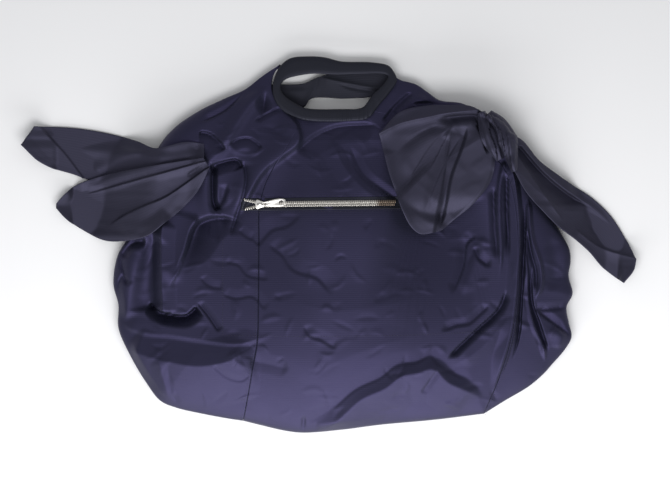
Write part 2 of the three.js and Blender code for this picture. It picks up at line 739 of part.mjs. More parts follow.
function addZipSlider() {
  const { length, width, waist, plate, play, post, bridge } = SLIDER;
  const shield = shapeThrough([
    [-length / 2, -width / 2], [-length / 6, -width / 2], [length / 3, -waist / 2], [length / 2, -waist / 2],
    [length / 2, waist / 2], [length / 3, waist / 2], [-length / 6, width / 2], [-length / 2, width / 2],
  ]);
  const topPlate = platePiece(shield, plate, sliderTopZ - plate);
  const bottomPlate = platePiece(shield, plate, sliderZ - play - plate);
  const postMiddle = -length / 2 + post / 2;
  const postShape = shapeThrough([
    [postMiddle - post / 2, -post / 2], [postMiddle + post / 2, -post / 2],
    [postMiddle + post / 2, post / 2], [postMiddle - post / 2, post / 2],
  ]);
  const divider = platePiece(postShape, sliderTopZ - sliderZ + play, sliderZ - play - plate / 2);
  const inside = pullerZ + PULLER.thickness + PULLER.play - sliderTopZ;
  const [span, wall] = [length / 3, plate * 1.3];
  const arch = shapeThrough([
    [-span, -plate / 2], [-span, inside + wall / 2], [wall - span, inside + wall], [span - wall, inside + wall],
    [span, inside + wall / 2], [span, -plate / 2], [span - wall, -plate / 2], [span - wall, inside],
    [wall - span, inside], [wall - span, -plate / 2],
  ]);
  const loop = new THREE.ExtrudeGeometry(arch, { depth: bridge, bevelEnabled: false });
  loop.translate(0, 0, -bridge / 2).rotateX(Math.PI / 2);
  const top = place(SLIDER.x, ZIP.y, sliderTopZ);
  loop.translate(top.x, top.y, top.z);
  addPiece("zip_slider", joined([topPlate, bottomPlate, divider, loop]), nickel);
}

function addZipPuller() {
  const { length, width, neck, hole, bar, play, thickness, turn } = PULLER;
  const [span, wall] = [SLIDER.length / 3, SLIDER.plate * 1.3];
  const eyeFromX = span - wall - play - bar / 2;
  const eyeToX = span + play;
  const eyeHalf = SLIDER.bridge / 2 + play;
  const tab = new THREE.Shape();
  tab.moveTo(eyeFromX - bar, -neck / 2);
  tab.lineTo(eyeToX + bar, -neck / 2);
  tab.lineTo(eyeToX + 3 * bar, -width / 2);
  tab.absarc(length - width / 2, 0, width / 2, -Math.PI / 2, Math.PI / 2, false);
  tab.lineTo(eyeToX + 3 * bar, width / 2);
  tab.lineTo(eyeToX + bar, neck / 2);
  tab.lineTo(eyeFromX - bar, neck / 2);
  tab.holes.push(shapeThrough([
    [eyeFromX, -eyeHalf], [eyeFromX, eyeHalf], [eyeToX, eyeHalf], [eyeToX, -eyeHalf],
  ]));
  tab.holes.push(new THREE.Path().absarc(length - width / 2, 0, hole, 0, 2 * Math.PI, false));
  const geometry = new THREE.ExtrudeGeometry(tab, { depth: thickness, bevelEnabled: false, curveSegments: 10 });
  geometry.rotateZ(THREE.MathUtils.degToRad(turn));
  const middle = place(SLIDER.x, ZIP.y, pullerZ);
  addPiece("zip_puller", geometry.translate(middle.x, middle.y, middle.z), nickel);
}

addZipChain();
addZipSlider();
addZipPuller();
TAILS.forEach(addTail);

// The origin is under the middle of the whole bag, on the table.

const bounds = new THREE.Box3().setFromObject(bag);
const middle = bounds.getCenter(new THREE.Vector3());
bag.position.set(-middle.x, -middle.y, -bounds.min.z);
bag.updateMatrixWorld(true);

export default bag;
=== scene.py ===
# %% [markdown]
# # A balloon bag of thin navy cloth
#
# The bag lies on its back on a white table and is seen from above. Its front is three sewn panels that
# puff up like a balloon, its hand hole is edged with a bound ring, and its shoulders are drawn into ties
# that are knotted at both sides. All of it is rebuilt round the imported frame, in metres.

# %% Load the frame
import math
from collections import namedtuple

import bmesh
import bpy
import numpy as np
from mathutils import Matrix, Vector


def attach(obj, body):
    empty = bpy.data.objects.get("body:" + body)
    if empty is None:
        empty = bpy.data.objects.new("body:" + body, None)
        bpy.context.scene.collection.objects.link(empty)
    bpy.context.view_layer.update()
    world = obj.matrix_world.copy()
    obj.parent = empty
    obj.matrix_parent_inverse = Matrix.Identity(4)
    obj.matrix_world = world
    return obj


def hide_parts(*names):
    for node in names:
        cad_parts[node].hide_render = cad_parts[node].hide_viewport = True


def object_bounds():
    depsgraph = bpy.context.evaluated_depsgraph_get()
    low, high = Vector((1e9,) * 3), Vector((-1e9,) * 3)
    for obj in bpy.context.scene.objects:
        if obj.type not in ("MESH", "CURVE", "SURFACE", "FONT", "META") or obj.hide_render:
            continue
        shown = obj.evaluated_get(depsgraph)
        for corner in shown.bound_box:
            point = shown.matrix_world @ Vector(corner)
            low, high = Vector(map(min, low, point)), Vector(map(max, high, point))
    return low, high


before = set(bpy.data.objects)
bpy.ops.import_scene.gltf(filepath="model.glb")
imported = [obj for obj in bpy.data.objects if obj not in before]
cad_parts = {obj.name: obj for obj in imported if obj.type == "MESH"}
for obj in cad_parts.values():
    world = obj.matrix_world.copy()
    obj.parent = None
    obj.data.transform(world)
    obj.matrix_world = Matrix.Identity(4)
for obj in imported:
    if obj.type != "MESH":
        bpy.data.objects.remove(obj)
cad_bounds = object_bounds()

# %% [markdown]
# ## The layout
#
# The photograph looks straight down, and one of its pixels is one millimetre of the bag. So a place on the
# bag is named by its place in the photograph, with x to the right and y down, and `spot` turns it into the
# frame. The bag's own box fixes where the layout lies: its left end is the tip of the upper left tail, and
# its top is the top of the neck ring.

# %% The layout's place in the frame
MM = 0.001
LAYOUT_LEFT = 21.0
LAYOUT_TOP = 57.0
ORIGIN_X = cad_bounds[0][0] - LAYOUT_LEFT * MM
ORIGIN_Y = cad_bounds[1][1] + LAYOUT_TOP * MM


def spot(x, y, z=0.0):
    """A place of the layout, in millimetres, as a point of the frame in metres."""
    return np.stack(np.broadcast_arrays(ORIGIN_X + x * MM, ORIGIN_Y - y * MM, z * MM), axis=-1)


print("the layout's corner is at", round(ORIGIN_X, 4), round(ORIGIN_Y, 4))

# %% [markdown]
# ## Camera, table and light
#
# The photograph was taken from high above with a long lens, so the bag hardly changes its size with its
# height. Its light comes from the bottom edge of the table: cloth that slopes towards it is bright and violet,
# and cloth that slopes away is nearly black. A softbox high at that side and a wide lamp low at it do the same
# here, and a weak lamp overhead and a pale world fill the rest. A least-squares fit to the photograph's mean
# colours in blocks picked their places from a few candidates, and gave the first strengths and cloth tints.
# Those were then changed by comparing the render's tones with the photograph's.

# %% The camera
PHOTO_WIDTH = 670
PHOTO_HEIGHT = 500
CAMERA_HEIGHT = 6.0
CLOTH_LEVEL = 0.02
FAR_CLIP = 50
SENSOR_MM = 36.0

camera = bpy.data.objects.new("camera", bpy.data.cameras.new("camera"))
bpy.context.scene.collection.objects.link(camera)
bpy.context.scene.camera = camera
camera.location = spot(PHOTO_WIDTH / 2, PHOTO_HEIGHT / 2) + np.array([0, 0, CAMERA_HEIGHT])
camera.data.sensor_width = SENSOR_MM
camera.data.lens = SENSOR_MM * (CAMERA_HEIGHT - CLOTH_LEVEL) / (PHOTO_WIDTH * MM)
camera.data.clip_end = FAR_CLIP
print("lens", round(camera.data.lens), "mm")

# %% The lights
Lamp = namedtuple("Lamp", "name place size watts")
LAMPS = [
    Lamp("softbox", (320.0, 850.0, 1100.0), (1.0, 0.6), 9.0),
    Lamp("low_lamp", (320.0, 1050.0, 300.0), (1.2, 0.4), 7.5),
    Lamp("overhead", (330.0, 300.0, 1700.0), (1.0, 1.0), 1.0),
]
LAMPS_AIM = (335.0, 260.0)
WORLD_COLOUR = (0.98, 0.99, 1.0, 1.0)
WORLD_STRENGTH = 0.44


def area_light(row, aim):
    """A soft rectangular lamp at a place of the layout, turned to a point of the frame."""
    lamp = bpy.data.lights.new(row.name, "AREA")
    lamp.shape = "RECTANGLE"
    lamp.size, lamp.size_y = row.size
    lamp.energy = row.watts
    holder = bpy.data.objects.new(row.name, lamp)
    bpy.context.scene.collection.objects.link(holder)
    holder.location = spot(*row.place)
    holder.rotation_euler = Vector(aim - spot(*row.place)).to_track_quat("-Z", "Y").to_euler()


for lamp_row in LAMPS:
    area_light(lamp_row, spot(*LAMPS_AIM))
world = bpy.data.worlds.new("studio")
bpy.context.scene.world = world
world.use_nodes = True
world.node_tree.nodes["Background"].inputs["Color"].default_value = WORLD_COLOUR
world.node_tree.nodes["Background"].inputs["Strength"].default_value = WORLD_STRENGTH
bpy.context.scene.view_settings.view_transform = "Standard"
print(len(LAMPS), "lamps and a pale world")

# %% [markdown]
# ## Shader sums
#
# A material here is a short piece of arithmetic on positions and noise. `Socket` wraps one output of a node,
# so that `1 - mask * 0.3` adds its Math nodes by itself, and `Shader.node` makes any other node. The cloths and
# the metals also share `Shader.noise` and `Shader.bump`.

# %% Sockets that can be added and multiplied


class Socket:
    """One output of a node, with the arithmetic that adds Math nodes."""

    def __init__(self, shader, output):
        self.shader = shader
        self.output = output

    def _math(self, operation, first, second=0.0):
        return self.shader.node("ShaderNodeMath", {"operation": operation}, {0: first, 1: second})

    def __add__(self, other):
        return self._math("ADD", self, other)

    def __radd__(self, other):
        return self._math("ADD", other, self)

    def __sub__(self, other):
        return self._math("SUBTRACT", self, other)

    def __rsub__(self, other):
        return self._math("SUBTRACT", other, self)

    def __mul__(self, other):
        return self._math("MULTIPLY", self, other)

    def __rmul__(self, other):
        return self._math("MULTIPLY", other, self)

    def sine(self):
        return self._math("SINE", self)


class Shader:
    """A material's node tree, with one method for all its nodes."""

    def __init__(self, name):
        self.material = bpy.data.materials.new(name)
        self.material.use_nodes = True
        self.tree = self.material.node_tree
        self.principled = self.tree.nodes["Principled BSDF"]

    def node(self, kind, settings=None, inputs=None, output=0):
        made = self.tree.nodes.new(kind)
        for key, value in (settings or {}).items():
            setattr(made, key, value)
        for key, value in (inputs or {}).items():
            self.put(made.inputs[key], value)
        return Socket(self, made.outputs[output])

    def noise(self, place, scale, detail=2.0):
        return self.node("ShaderNodeTexNoise", {}, {"Vector": place, "Scale": scale, "Detail": detail})

    def bump(self, height, strength, distance):
        """Small relief, from a height that varies over the surface."""
        inputs = {"Height": height, "Strength": strength, "Distance": distance}
        self.put(self.principled.inputs["Normal"], self.node("ShaderNodeBump", {}, inputs, output="Normal"))

    def put(self, socket, value):
        if isinstance(value, Socket):
            self.tree.links.new(value.output, socket)
        else:
            socket.default_value = value

    def set(self, **inputs):
        for key, value in inputs.items():
            self.put(self.principled.inputs[key.replace("_", " ")], value)

    def colours(self, factor, dark, light):
        """A mix of two colours by a factor."""
        factor_input, first_colour, second_colour, colour_output = 0, 6, 7, 2
        inputs = {factor_input: factor, first_colour: dark, second_colour: light}
        return self.node("ShaderNodeMix", {"data_type": "RGBA"}, inputs, output=colour_output)


print("shader sums are ready")

# %% [markdown]
# ## The cloth
#
# The cloth is taken to be a crisp nylon with fine ribs across the bag. It is navy where it faces away from the
# light, and turns violet where it catches it, which is the sheen of its filament yarn. The ribs are a wave along
# the cloth's own V direction, each piece carries its U and V in metres, and noise bends the ribs and varies the
# gloss as handling does. Deep creases come from the mesh and not from the material. The binding is duller than
# the body, and the ties are greyer, so each has its own tint of gloss.

# %% The cloth's material
RIB = {"pitch": 0.0019, "bend": 0.0016}
BLUR_SCALE, FIBRE_SCALE, YARN_SCALE = 26.0, 900.0, 620.0
YARN_STRETCH = (0.05, 1.0, 1.0)
RELIEF = {"ribs": 0.45, "yarn": 0.45, "fibre": 0.2, "strength": 0.35, "depth": 0.00022}


def cloth_material(name, dark, light, gloss, gloss_tint, roughness=0.48):
    shader = Shader(name)
    place = shader.node("ShaderNodeUVMap", {"uv_map": "cloth"})
    blur = shader.noise(place, BLUR_SCALE, 3.0)
    fibre = shader.noise(place, FIBRE_SCALE)
    stretch = shader.node("ShaderNodeMapping", {}, {"Vector": place, "Scale": YARN_STRETCH})
    yarn = shader.noise(stretch, YARN_SCALE)
    along_v = shader.node("ShaderNodeSeparateXYZ", {}, {"Vector": place}, output="Y")
    ribs = ((along_v + blur * RIB["bend"]) * (2 * math.pi / RIB["pitch"])).sine() * 0.5 + 0.5
    tone = yarn * 0.65 + blur * 0.35
    shader.set(
        Base_Color=shader.colours(tone, dark, light),
        Roughness=roughness + blur * 0.14 + fibre * 0.06,
        Specular_IOR_Level=gloss,
        Specular_Tint=gloss_tint,
    )
    height = ribs * RELIEF["ribs"] + yarn * RELIEF["yarn"] + fibre * RELIEF["fibre"]
    shader.bump(height, RELIEF["strength"], RELIEF["depth"])
    return shader.material


VIOLET_GLOSS = (0.49, 0.42, 1.0, 1.0)
GREY_GLOSS = (0.72, 0.72, 1.0, 1.0)
TIE_GLOSS = (0.62, 0.59, 1.0, 1.0)
BODY_DARK, BODY_LIGHT = (0.004, 0.006, 0.007, 1.0), (0.008, 0.010, 0.012, 1.0)
BINDING_DARK, BINDING_LIGHT = (0.003, 0.004, 0.006, 1.0), (0.007, 0.008, 0.010, 1.0)
TIE_DARK, TIE_LIGHT = (0.004, 0.005, 0.006, 1.0), (0.010, 0.010, 0.013, 1.0)
body_cloth = cloth_material("navy_nylon", BODY_DARK, BODY_LIGHT, 0.85, VIOLET_GLOSS)
band_cloth = cloth_material("navy_binding", BINDING_DARK, BINDING_LIGHT, 0.5, GREY_GLOSS)
tie_cloth = cloth_material("navy_ties", TIE_DARK, TIE_LIGHT, 0.9, TIE_GLOSS, 0.55)
print("materials:", [m.name for m in (body_cloth, band_cloth, tie_cloth)])

# %% [markdown]
# ## Lines, distances and folds
#
# Crisp cloth keeps its creases, and a cloth simulation would not lay them where the real ones are. So each
# fold is laid one by one, as a dressmaker would pin it: a line on the layout, a height, and a width on either
# hand. A round fold is a soft roll. A sharp one is a pressed crease, which the cloth leaves at an angle and
# eases off from. A tent falls on both sides in straight planes and stops, as crisp cloth does. A height below 0
# makes a groove. A fold with a narrow side and a wide one is an edge that overlaps what is beside it: its narrow
# side shows as a thin dark or bright line. The left hand of a line that runs down the layout is its right side.

# %% Smooth lines and distances to them
LINE_STEP = 1.5
CURVE_STEPS = 24


def smooth_line(points, closed=False, step=LINE_STEP):
    """Evenly spaced points, in millimetres, of a smooth line through some points of the layout."""
    knots = np.array(points, float)
    if closed:
        knots = np.vstack([knots[-1:], knots, knots[:2]])
    else:
        knots = np.vstack([2 * knots[0] - knots[1], knots, 2 * knots[-1] - knots[-2]])
    chord = np.sqrt(np.linalg.norm(np.diff(knots, axis=0), axis=1)) + 1e-9
    times = np.concatenate([[0], np.cumsum(chord)])
    pieces = []
    for i in range(1, len(knots) - 2):
        t = np.linspace(times[i], times[i + 1], CURVE_STEPS, endpoint=False)[:, None]
        a = [
            ((times[k + 1] - t) * knots[k] + (t - times[k]) * knots[k + 1]) / (times[k + 1] - times[k])
            for k in (i - 1, i, i + 1)
        ]
        b = [
            ((times[k + 2] - t) * a[m] + (t - times[k]) * a[m + 1]) / (times[k + 2] - times[k])
            for m, k in enumerate((i - 1, i))
        ]
        pieces.append(((times[i + 1] - t) * b[0] + (t - times[i]) * b[1]) / (times[i + 1] - times[i]))
    pieces.append(knots[-2:-1])
    dense = np.vstack(pieces)
    length = np.concatenate([[0], np.cumsum(np.linalg.norm(np.diff(dense, axis=0), axis=1))])
    count = max(3, int(round(length[-1] / step)) + 1)
    even = np.linspace(0, length[-1], count)
    return np.stack([np.interp(even, length, dense[:, k]) for k in (0, 1)], axis=1)


def along(line, share):
    """Points of an evenly spaced line at shares of its length."""
    place = np.clip(share, 0, 1) * (len(line) - 1)
    return np.stack([np.interp(place, np.arange(len(line)), line[:, k]) for k in (0, 1)], axis=-1)


def nearest(line, xy):
    """Distance to a line (above 0 on its left hand) and place on it, in points, for many places."""
    start, step = line[:-1], np.diff(line, axis=0)
    length2 = (step**2).sum(1)
    best = np.full(len(xy), np.inf)
    side = np.ones(len(xy))
    place = np.zeros(len(xy))
    for i in range(len(start)):
        offset = xy - start[i]
        t = np.clip(offset @ step[i] / length2[i], 0, 1)
        apart = offset - t[:, None] * step[i]
        gap = (apart**2).sum(1)
        closer = gap < best
        best[closer] = gap[closer]
        hand = apart[:, 0] * step[i, 1] - apart[:, 1] * step[i, 0]
        side[closer] = np.where(hand[closer] < 0, -1, 1)
        place[closer] = i + t[closer]
    return np.sqrt(best) * side, place


def smoothstep(x, low, high):
    t = np.clip((x - low) / (high - low), 0, 1)
    return t * t * (3 - 2 * t)


def mix(a, b, share):
    return a + (b - a) * share


# %% Folds
Fold = namedtuple("Fold", "height left right path kind fade", defaults=("round", (0.22, 0.22)))
PROFILES = {
    "round": lambda distance: np.exp(-(distance**2)),
    "sharp": lambda distance: np.exp(-distance),
    "tent": lambda distance: np.clip(1 - distance, 0, 1) ** 1.15,
}
REACH = 3.2
NARROW_END = 0.35
FOLD_STEP = 2.5


def fold_heights(folds, xy):
    """The height that folds add at many places, in millimetres."""
    total = np.zeros(len(xy))
    for fold in folds:
        line = smooth_line(fold.path, step=FOLD_STEP)
        reach = REACH * max(fold.left, fold.right)
        low, high = line.min(0) - reach, line.max(0) + reach
        near = ((xy > low) & (xy < high)).all(1)
        if not near.any():
            continue
        side, place = nearest(line, xy[near])
        share = place / (len(line) - 1)
        starts = smoothstep(share, 0, fold.fade[0]) if fold.fade[0] > 0 else 1.0
        ends = 1 - smoothstep(share, 1 - fold.fade[1], 1) if fold.fade[1] > 0 else 1.0
        envelope = starts * ends
        width = np.where(side > 0, fold.left, fold.right) * mix(NARROW_END, 1.0, envelope)
        total[near] += fold.height * envelope * PROFILES[fold.kind](np.abs(side) / width)
    return total


print("fold tools are ready")

# %% [markdown]
# ## The shape of the front
#
# The three front panels are one puffed surface that the seams divide, so one function gives the height of
# all of them. It starts from a soft crown that rounds off towards the outline, and the folds are added to
# that. The outline and the seams are read off the photograph.

# %% Outline and seams
OUTLINE_LEFT = [
    (280, 64), (262, 76), (245, 89), (225, 98), (200, 110), (176, 126), (160, 144), (150, 170), (140, 205),
    (127, 238), (117, 256), (113, 284), (118, 305), (118, 328), (130, 356), (146, 383), (160, 401), (176, 408),
    (202, 414), (229, 419), (243, 421),
]
OUTLINE_BOTTOM = [(243, 421), (259, 425), (285, 431), (303, 433), (342, 430), (381, 425), (435, 420), (484, 414)]
OUTLINE_RIGHT = [
    (392, 72), (399, 79), (416, 84), (428, 92), (440, 100), (462, 103), (480, 112), (500, 122), (515, 140),
    (530, 165), (540, 192), (550, 214), (562, 234), (570, 250), (571, 262), (569, 276), (573, 294), (567, 307),
    (569, 322), (572, 337), (565, 350), (552, 365), (545, 373), (530, 386), (505, 401), (484, 414),
]
SEAM_LEFT = [
    (303, 118.5), (285, 150), (267, 180), (259.5, 207), (259, 240), (258.5, 300), (257.5, 340), (253, 368),
    (243, 421),
]
SEAM_RIGHT = [
    (371, 111), (405, 118), (450, 130), (484, 148), (504, 168), (514, 200), (518, 250), (516, 310), (508, 352),
    (497, 384), (484, 414),
]
RING = [
    (277, 85), (282, 73), (295, 66.5), (311, 65), (331, 67), (361, 68.5), (382, 69.5), (389, 75), (388, 84),
    (380, 96), (373, 104), (366, 112), (346, 115), (325, 115.5), (304, 114.5), (289, 106), (279, 96),
]

ring_line = smooth_line(RING, closed=True)
left_line, bottom_line, right_line = (smooth_line(p) for p in (OUTLINE_LEFT, OUTLINE_BOTTOM, OUTLINE_RIGHT))
seam_left, seam_right = smooth_line(SEAM_LEFT), smooth_line(SEAM_RIGHT)
outline = np.vstack([left_line, bottom_line[1:], right_line[::-1][1:]])
print("outline:", len(outline), "points")

# %% The crown and its edges
NECK = {"top": 58.0, "end": 140.0, "z": 7.0, "slope": 0.2}
BELLY = {"x": 335.0, "y": 338.0, "z": 26.0, "reach_x": 165.0, "reach_y": 108.0}
EDGE = {"thin_y": 150.0, "full_y": 330.0, "thin_z": 9.0, "full_z": 10.0, "thin_reach": 16.0, "full_reach": 78.0}
CHORD = 8
CALM = {"edge": 9, "ring_from": 4, "ring_to": 12}


def fullness(y):
    return smoothstep(y, EDGE["thin_y"], EDGE["full_y"])


def edge_height(y):
    return mix(EDGE["thin_z"], EDGE["full_z"], fullness(y))


def crown(x, y):
    """Height of the puffed front away from its edges."""
    neck = NECK["z"] + NECK["slope"] * (np.minimum(y, NECK["end"]) - NECK["top"])
    spread = ((x - BELLY["x"]) / BELLY["reach_x"]) ** 2 + ((y - BELLY["y"]) / BELLY["reach_y"]) ** 2
    return neck + BELLY["z"] * np.exp(-spread)


def from_outline(xy):
    """How far places are inside the outline, and the way out of the bag there."""
    depth, place = nearest(outline, xy)
    ahead = np.clip(place + CHORD, 0, len(outline) - 1)
    behind = np.clip(place - CHORD, 0, len(outline) - 1)
    chord = along(outline, ahead / (len(outline) - 1)) - along(outline, behind / (len(outline) - 1))
    chord /= np.linalg.norm(chord, axis=1)[:, None]
    return depth, np.stack([-chord[:, 1], chord[:, 0]], axis=1)


def front_height(xy, folds):
    """Height of the front at many places."""
    x, y = xy[:, 0], xy[:, 1]
    depth, _ = from_outline(xy)
    reach = mix(EDGE["thin_reach"], EDGE["full_reach"], fullness(y))
    rise = np.sqrt(1 - (1 - np.clip(depth / reach, 0, 1)) ** 2)
    base = mix(edge_height(y), crown(x, y), rise)
    neck_gap = np.abs(nearest(ring_line, xy)[0])
    calm = smoothstep(depth, 0, CALM["edge"]) * smoothstep(neck_gap, CALM["ring_from"], CALM["ring_to"])
    return base + fold_heights(folds, xy) * calm


print("crown height in the middle:", round(float(crown(335.0, 325.0)), 1), "mm")

# %% [markdown]
# ## From a grid of places to a piece of cloth
#
# Each panel is a patch between four lines of the layout: its cells run evenly from one line to the other, so
# the mesh follows the seams and the outline. The grid becomes a mesh, keeps its U and V for the weave, and a
# Solidify modifier gives it the thickness of cloth.

# %% Patches and meshes
CLOTH_THICKNESS = 0.0007


def patch(left, right, top_points, bottom_points, columns, rows, crowd=lambda u: u):
    """A grid of layout places between two lines, whose ends two others join."""
    top = smooth_line([left[0], *top_points, right[0]])
    bottom = smooth_line([left[-1], *bottom_points, right[-1]])
    u = crowd(np.linspace(0, 1, columns + 1))[None, :, None]
    v = np.linspace(0, 1, rows + 1)[:, None, None]
    sides = mix(along(left, v[:, 0, 0])[:, None], along(right, v[:, 0, 0])[:, None], u)
    ends = mix(along(top, u[0, :, 0])[None], along(bottom, u[0, :, 0])[None], v)
    corners = mix(mix(left[0], right[0], u), mix(left[-1], right[-1], u), v)
    return sides + ends - corners


def grid_faces(rows, columns, looped=False):
    """Quads of a grid of points. A looped grid joins its last column to its first."""
    wide = columns if looped else columns + 1
    j, i = np.meshgrid(np.arange(rows), np.arange(columns), indexing="ij")
    right = (i + 1) % wide
    quads = np.stack([j * wide + i, (j + 1) * wide + i, (j + 1) * wide + right, j * wide + right], axis=-1)
    return quads.reshape(-1, 4)


def select_only(piece):
    bpy.ops.object.select_all(action="DESELECT")
    piece.select_set(True)
    bpy.context.view_layer.objects.active = piece


def apply_modifier(piece, kind, **settings):
    modifier = piece.modifiers.new(kind.lower(), kind)
    for key, value in settings.items():
        setattr(modifier, key, value)
    select_only(piece)
    bpy.ops.object.modifier_apply(modifier=modifier.name)


def cloth_piece(name, points, uv, material, nodes, thickness=CLOTH_THICKNESS, looped=False):
    """A grid of points in the frame becomes a thin closed piece of cloth that stands for some nodes."""
    rows, wide = points.shape[0] - 1, points.shape[1]
    faces = grid_faces(rows, wide if looped else wide - 1, looped)
    flat = points.reshape(-1, 3)
    corner = flat[faces]
    upward = np.cross(corner[:, 2] - corner[:, 0], corner[:, 3] - corner[:, 1])[:, 2].sum()
    if upward < 0:
        faces = faces[:, ::-1]
    mesh = bpy.data.meshes.new(name)
    mesh.from_pydata(flat.tolist(), [], faces.tolist())
    layer = mesh.uv_layers.new(name="cloth")
    layer.data.foreach_set("uv", uv.reshape(-1, 2)[faces.reshape(-1)].ravel())
    mesh.materials.append(material)
    piece = bpy.data.objects.new(name, mesh)
    bpy.context.scene.collection.objects.link(piece)
    weld = bmesh.new()
    weld.from_mesh(mesh)
    bmesh.ops.remove_doubles(weld, verts=weld.verts, dist=1e-6)
    weld.to_mesh(mesh)
    weld.free()
    apply_modifier(piece, "SOLIDIFY", thickness=thickness, offset=-1.0, use_rim=True)
    mesh.polygons.foreach_set("use_smooth", np.ones(len(mesh.polygons), bool))
    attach(piece, "root")
    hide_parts(*nodes)
    print(name, len(mesh.polygons), "faces")
    return piece


# %% [markdown]
# ## The folds of the front
#
# The folds are listed area by area, each as it was read off the photograph. They are pulled towards the
# two knots, so they fan out from both shoulders, and the slack cloth between them lies in hollows and pleats.

# %% Folds of the chest and belly
CHEST_FOLDS = [
    Fold(10, 60, 60, [(265, 226), (340, 222), (415, 226)], "round", (0.35, 0.35)),
    Fold(-2.7, 24, 30, [(300, 150), (345, 146), (395, 152)], "round", (0.3, 0.3)),
    Fold(-4, 4, 18, [(296, 152), (318, 135), (342, 126), (378, 125)], "tent", (0.1, 0.15)),
    Fold(-2.3, 7, 6, [(350, 146), (364, 174), (384, 190), (400, 201)], "tent", (0.2, 0.1)),
    Fold(2, 8, 14, [(330, 138), (345, 168), (365, 190), (385, 202)], "tent", (0.2, 0.3)),
    Fold(-1.1, 7, 7, [(240, 205), (320, 204), (404, 202.5)], "round", (0.05, 0.05)),
]
print(len(CHEST_FOLDS), "folds of the chest and belly")

# %% Folds of the left shoulder
LEFT_SHOULDER_FOLDS = [
    Fold(
        7.2, 3.5, 16,
        [(280, 104), (296, 128), (298, 141), (282, 155), (263, 170), (250, 190), (243, 205), (237, 220)],
    ),
    Fold(-4.5, 5, 1.3, [(243, 160), (246, 178), (243, 196), (237, 214), (230, 236)], "sharp", (0.1, 0.1)),
    Fold(4, 8, 5, [(206, 164), (222, 148), (236, 124), (250, 104), (266, 86)], "round", (0.05, 0.2)),
    Fold(-5.5, 9, 9, [(266, 90), (264, 104), (262, 118)], "tent", (0.45, 0.45)),
    Fold(-2.5, 5, 1.5, [(278, 108), (266, 114), (254, 121)], "tent", (0, 0.2)),
    Fold(-3.2, 7, 2.5, [(199, 123), (226, 109), (243, 92)], "tent", (0.2, 0.1)),
    Fold(-3.2, 1.3, 10, [(228, 145), (239, 139), (250, 138.5), (263, 148)], "tent", (0.15, 0.1)),
    Fold(1.2, 7, 6, [(230, 152), (242, 146), (252, 147), (258, 156)], "round", (0.15, 0.1)),
    Fold(-4.5, 1.3, 12, [(199, 132), (208, 133), (219, 141), (226, 150)], "tent", (0.05, 0.1)),
    Fold(-7, 1.3, 12, [(209, 167), (222, 162), (238, 160), (243, 168)], "tent", (0.05, 0.05)),
    Fold(-8, 6, 1.3, [(212, 166), (212, 188), (213, 203), (216, 211)], "tent", (0.05, 0.03)),
    Fold(-3.2, 3, 5, [(228, 184), (223, 197), (217, 210)], "round", (0.2, 0.05)),
    Fold(3.2, 4, 9, [(207, 170), (206, 190), (208, 208), (214, 217), (224, 216)], "round", (0.1, 0.1)),
]
print(len(LEFT_SHOULDER_FOLDS), "folds of the left shoulder")

# %% The hollow and the pleat
HOLLOW_FOLDS = [
    Fold(-13, 5, 28, [(174, 276), (188, 250), (198, 226), (214, 219), (234, 220), (244, 224)], "tent", (0.45, 0.35)),
    Fold(5.1, 2.5, 12, [(198, 214), (194, 226), (187, 250), (178, 272), (168, 288)], "sharp", (0.1, 0.2)),
    Fold(7, 14, 9, [(164, 218), (161.5, 240), (162, 275), (163.5, 314)], "tent", (0.1, 0.03)),
    Fold(-8, 9, 15, [(153, 232), (150, 260), (148, 290), (152, 312)], "round", (0.15, 0.1)),
    Fold(5, 9, 12, [(150, 232), (139, 254), (131, 284), (123, 322)], "round", (0.1, 0.15)),
    Fold(-3.5, 4, 1.3, [(118, 254), (122, 270), (127, 286)], "sharp", (0, 0.1)),
    Fold(-3, 1.3, 4, [(116, 290), (120, 278), (124, 274)], "sharp", (0, 0.2)),
    Fold(-5.1, 8, 5, [(146, 240), (132, 243), (120, 256)], "tent", (0.1, 0.1)),
]
print(len(HOLLOW_FOLDS), "the hollow and the pleat")

# %% The pit and the band over the bottom
PIT_FOLDS = [
    Fold(-16, 1.3, 12, [(150, 302), (159, 311), (173, 315), (187, 315), (197, 306)], "tent", (0.1, 0.05)),
    Fold(
        10, 26, 44,
        [(124, 348), (146, 356), (170, 362), (199, 366), (228, 361), (244, 352), (256, 344)],
        "tent", (0.1, 0.2),
    ),
    Fold(2.0, 14, 4, [(120, 324), (142, 332), (170, 335), (205, 340), (240, 343), (268, 336)], "tent", (0.1, 0.15)),
    Fold(-3, 7, 1.5, [(198, 303), (208, 315), (219, 331)], "tent", (0.1, 0.05)),
    Fold(2.0, 8, 10, [(158, 356), (163, 378), (170, 402)], "tent", (0.2, 0.3)),
]
print(len(PIT_FOLDS), "the pit and the band over the bottom")

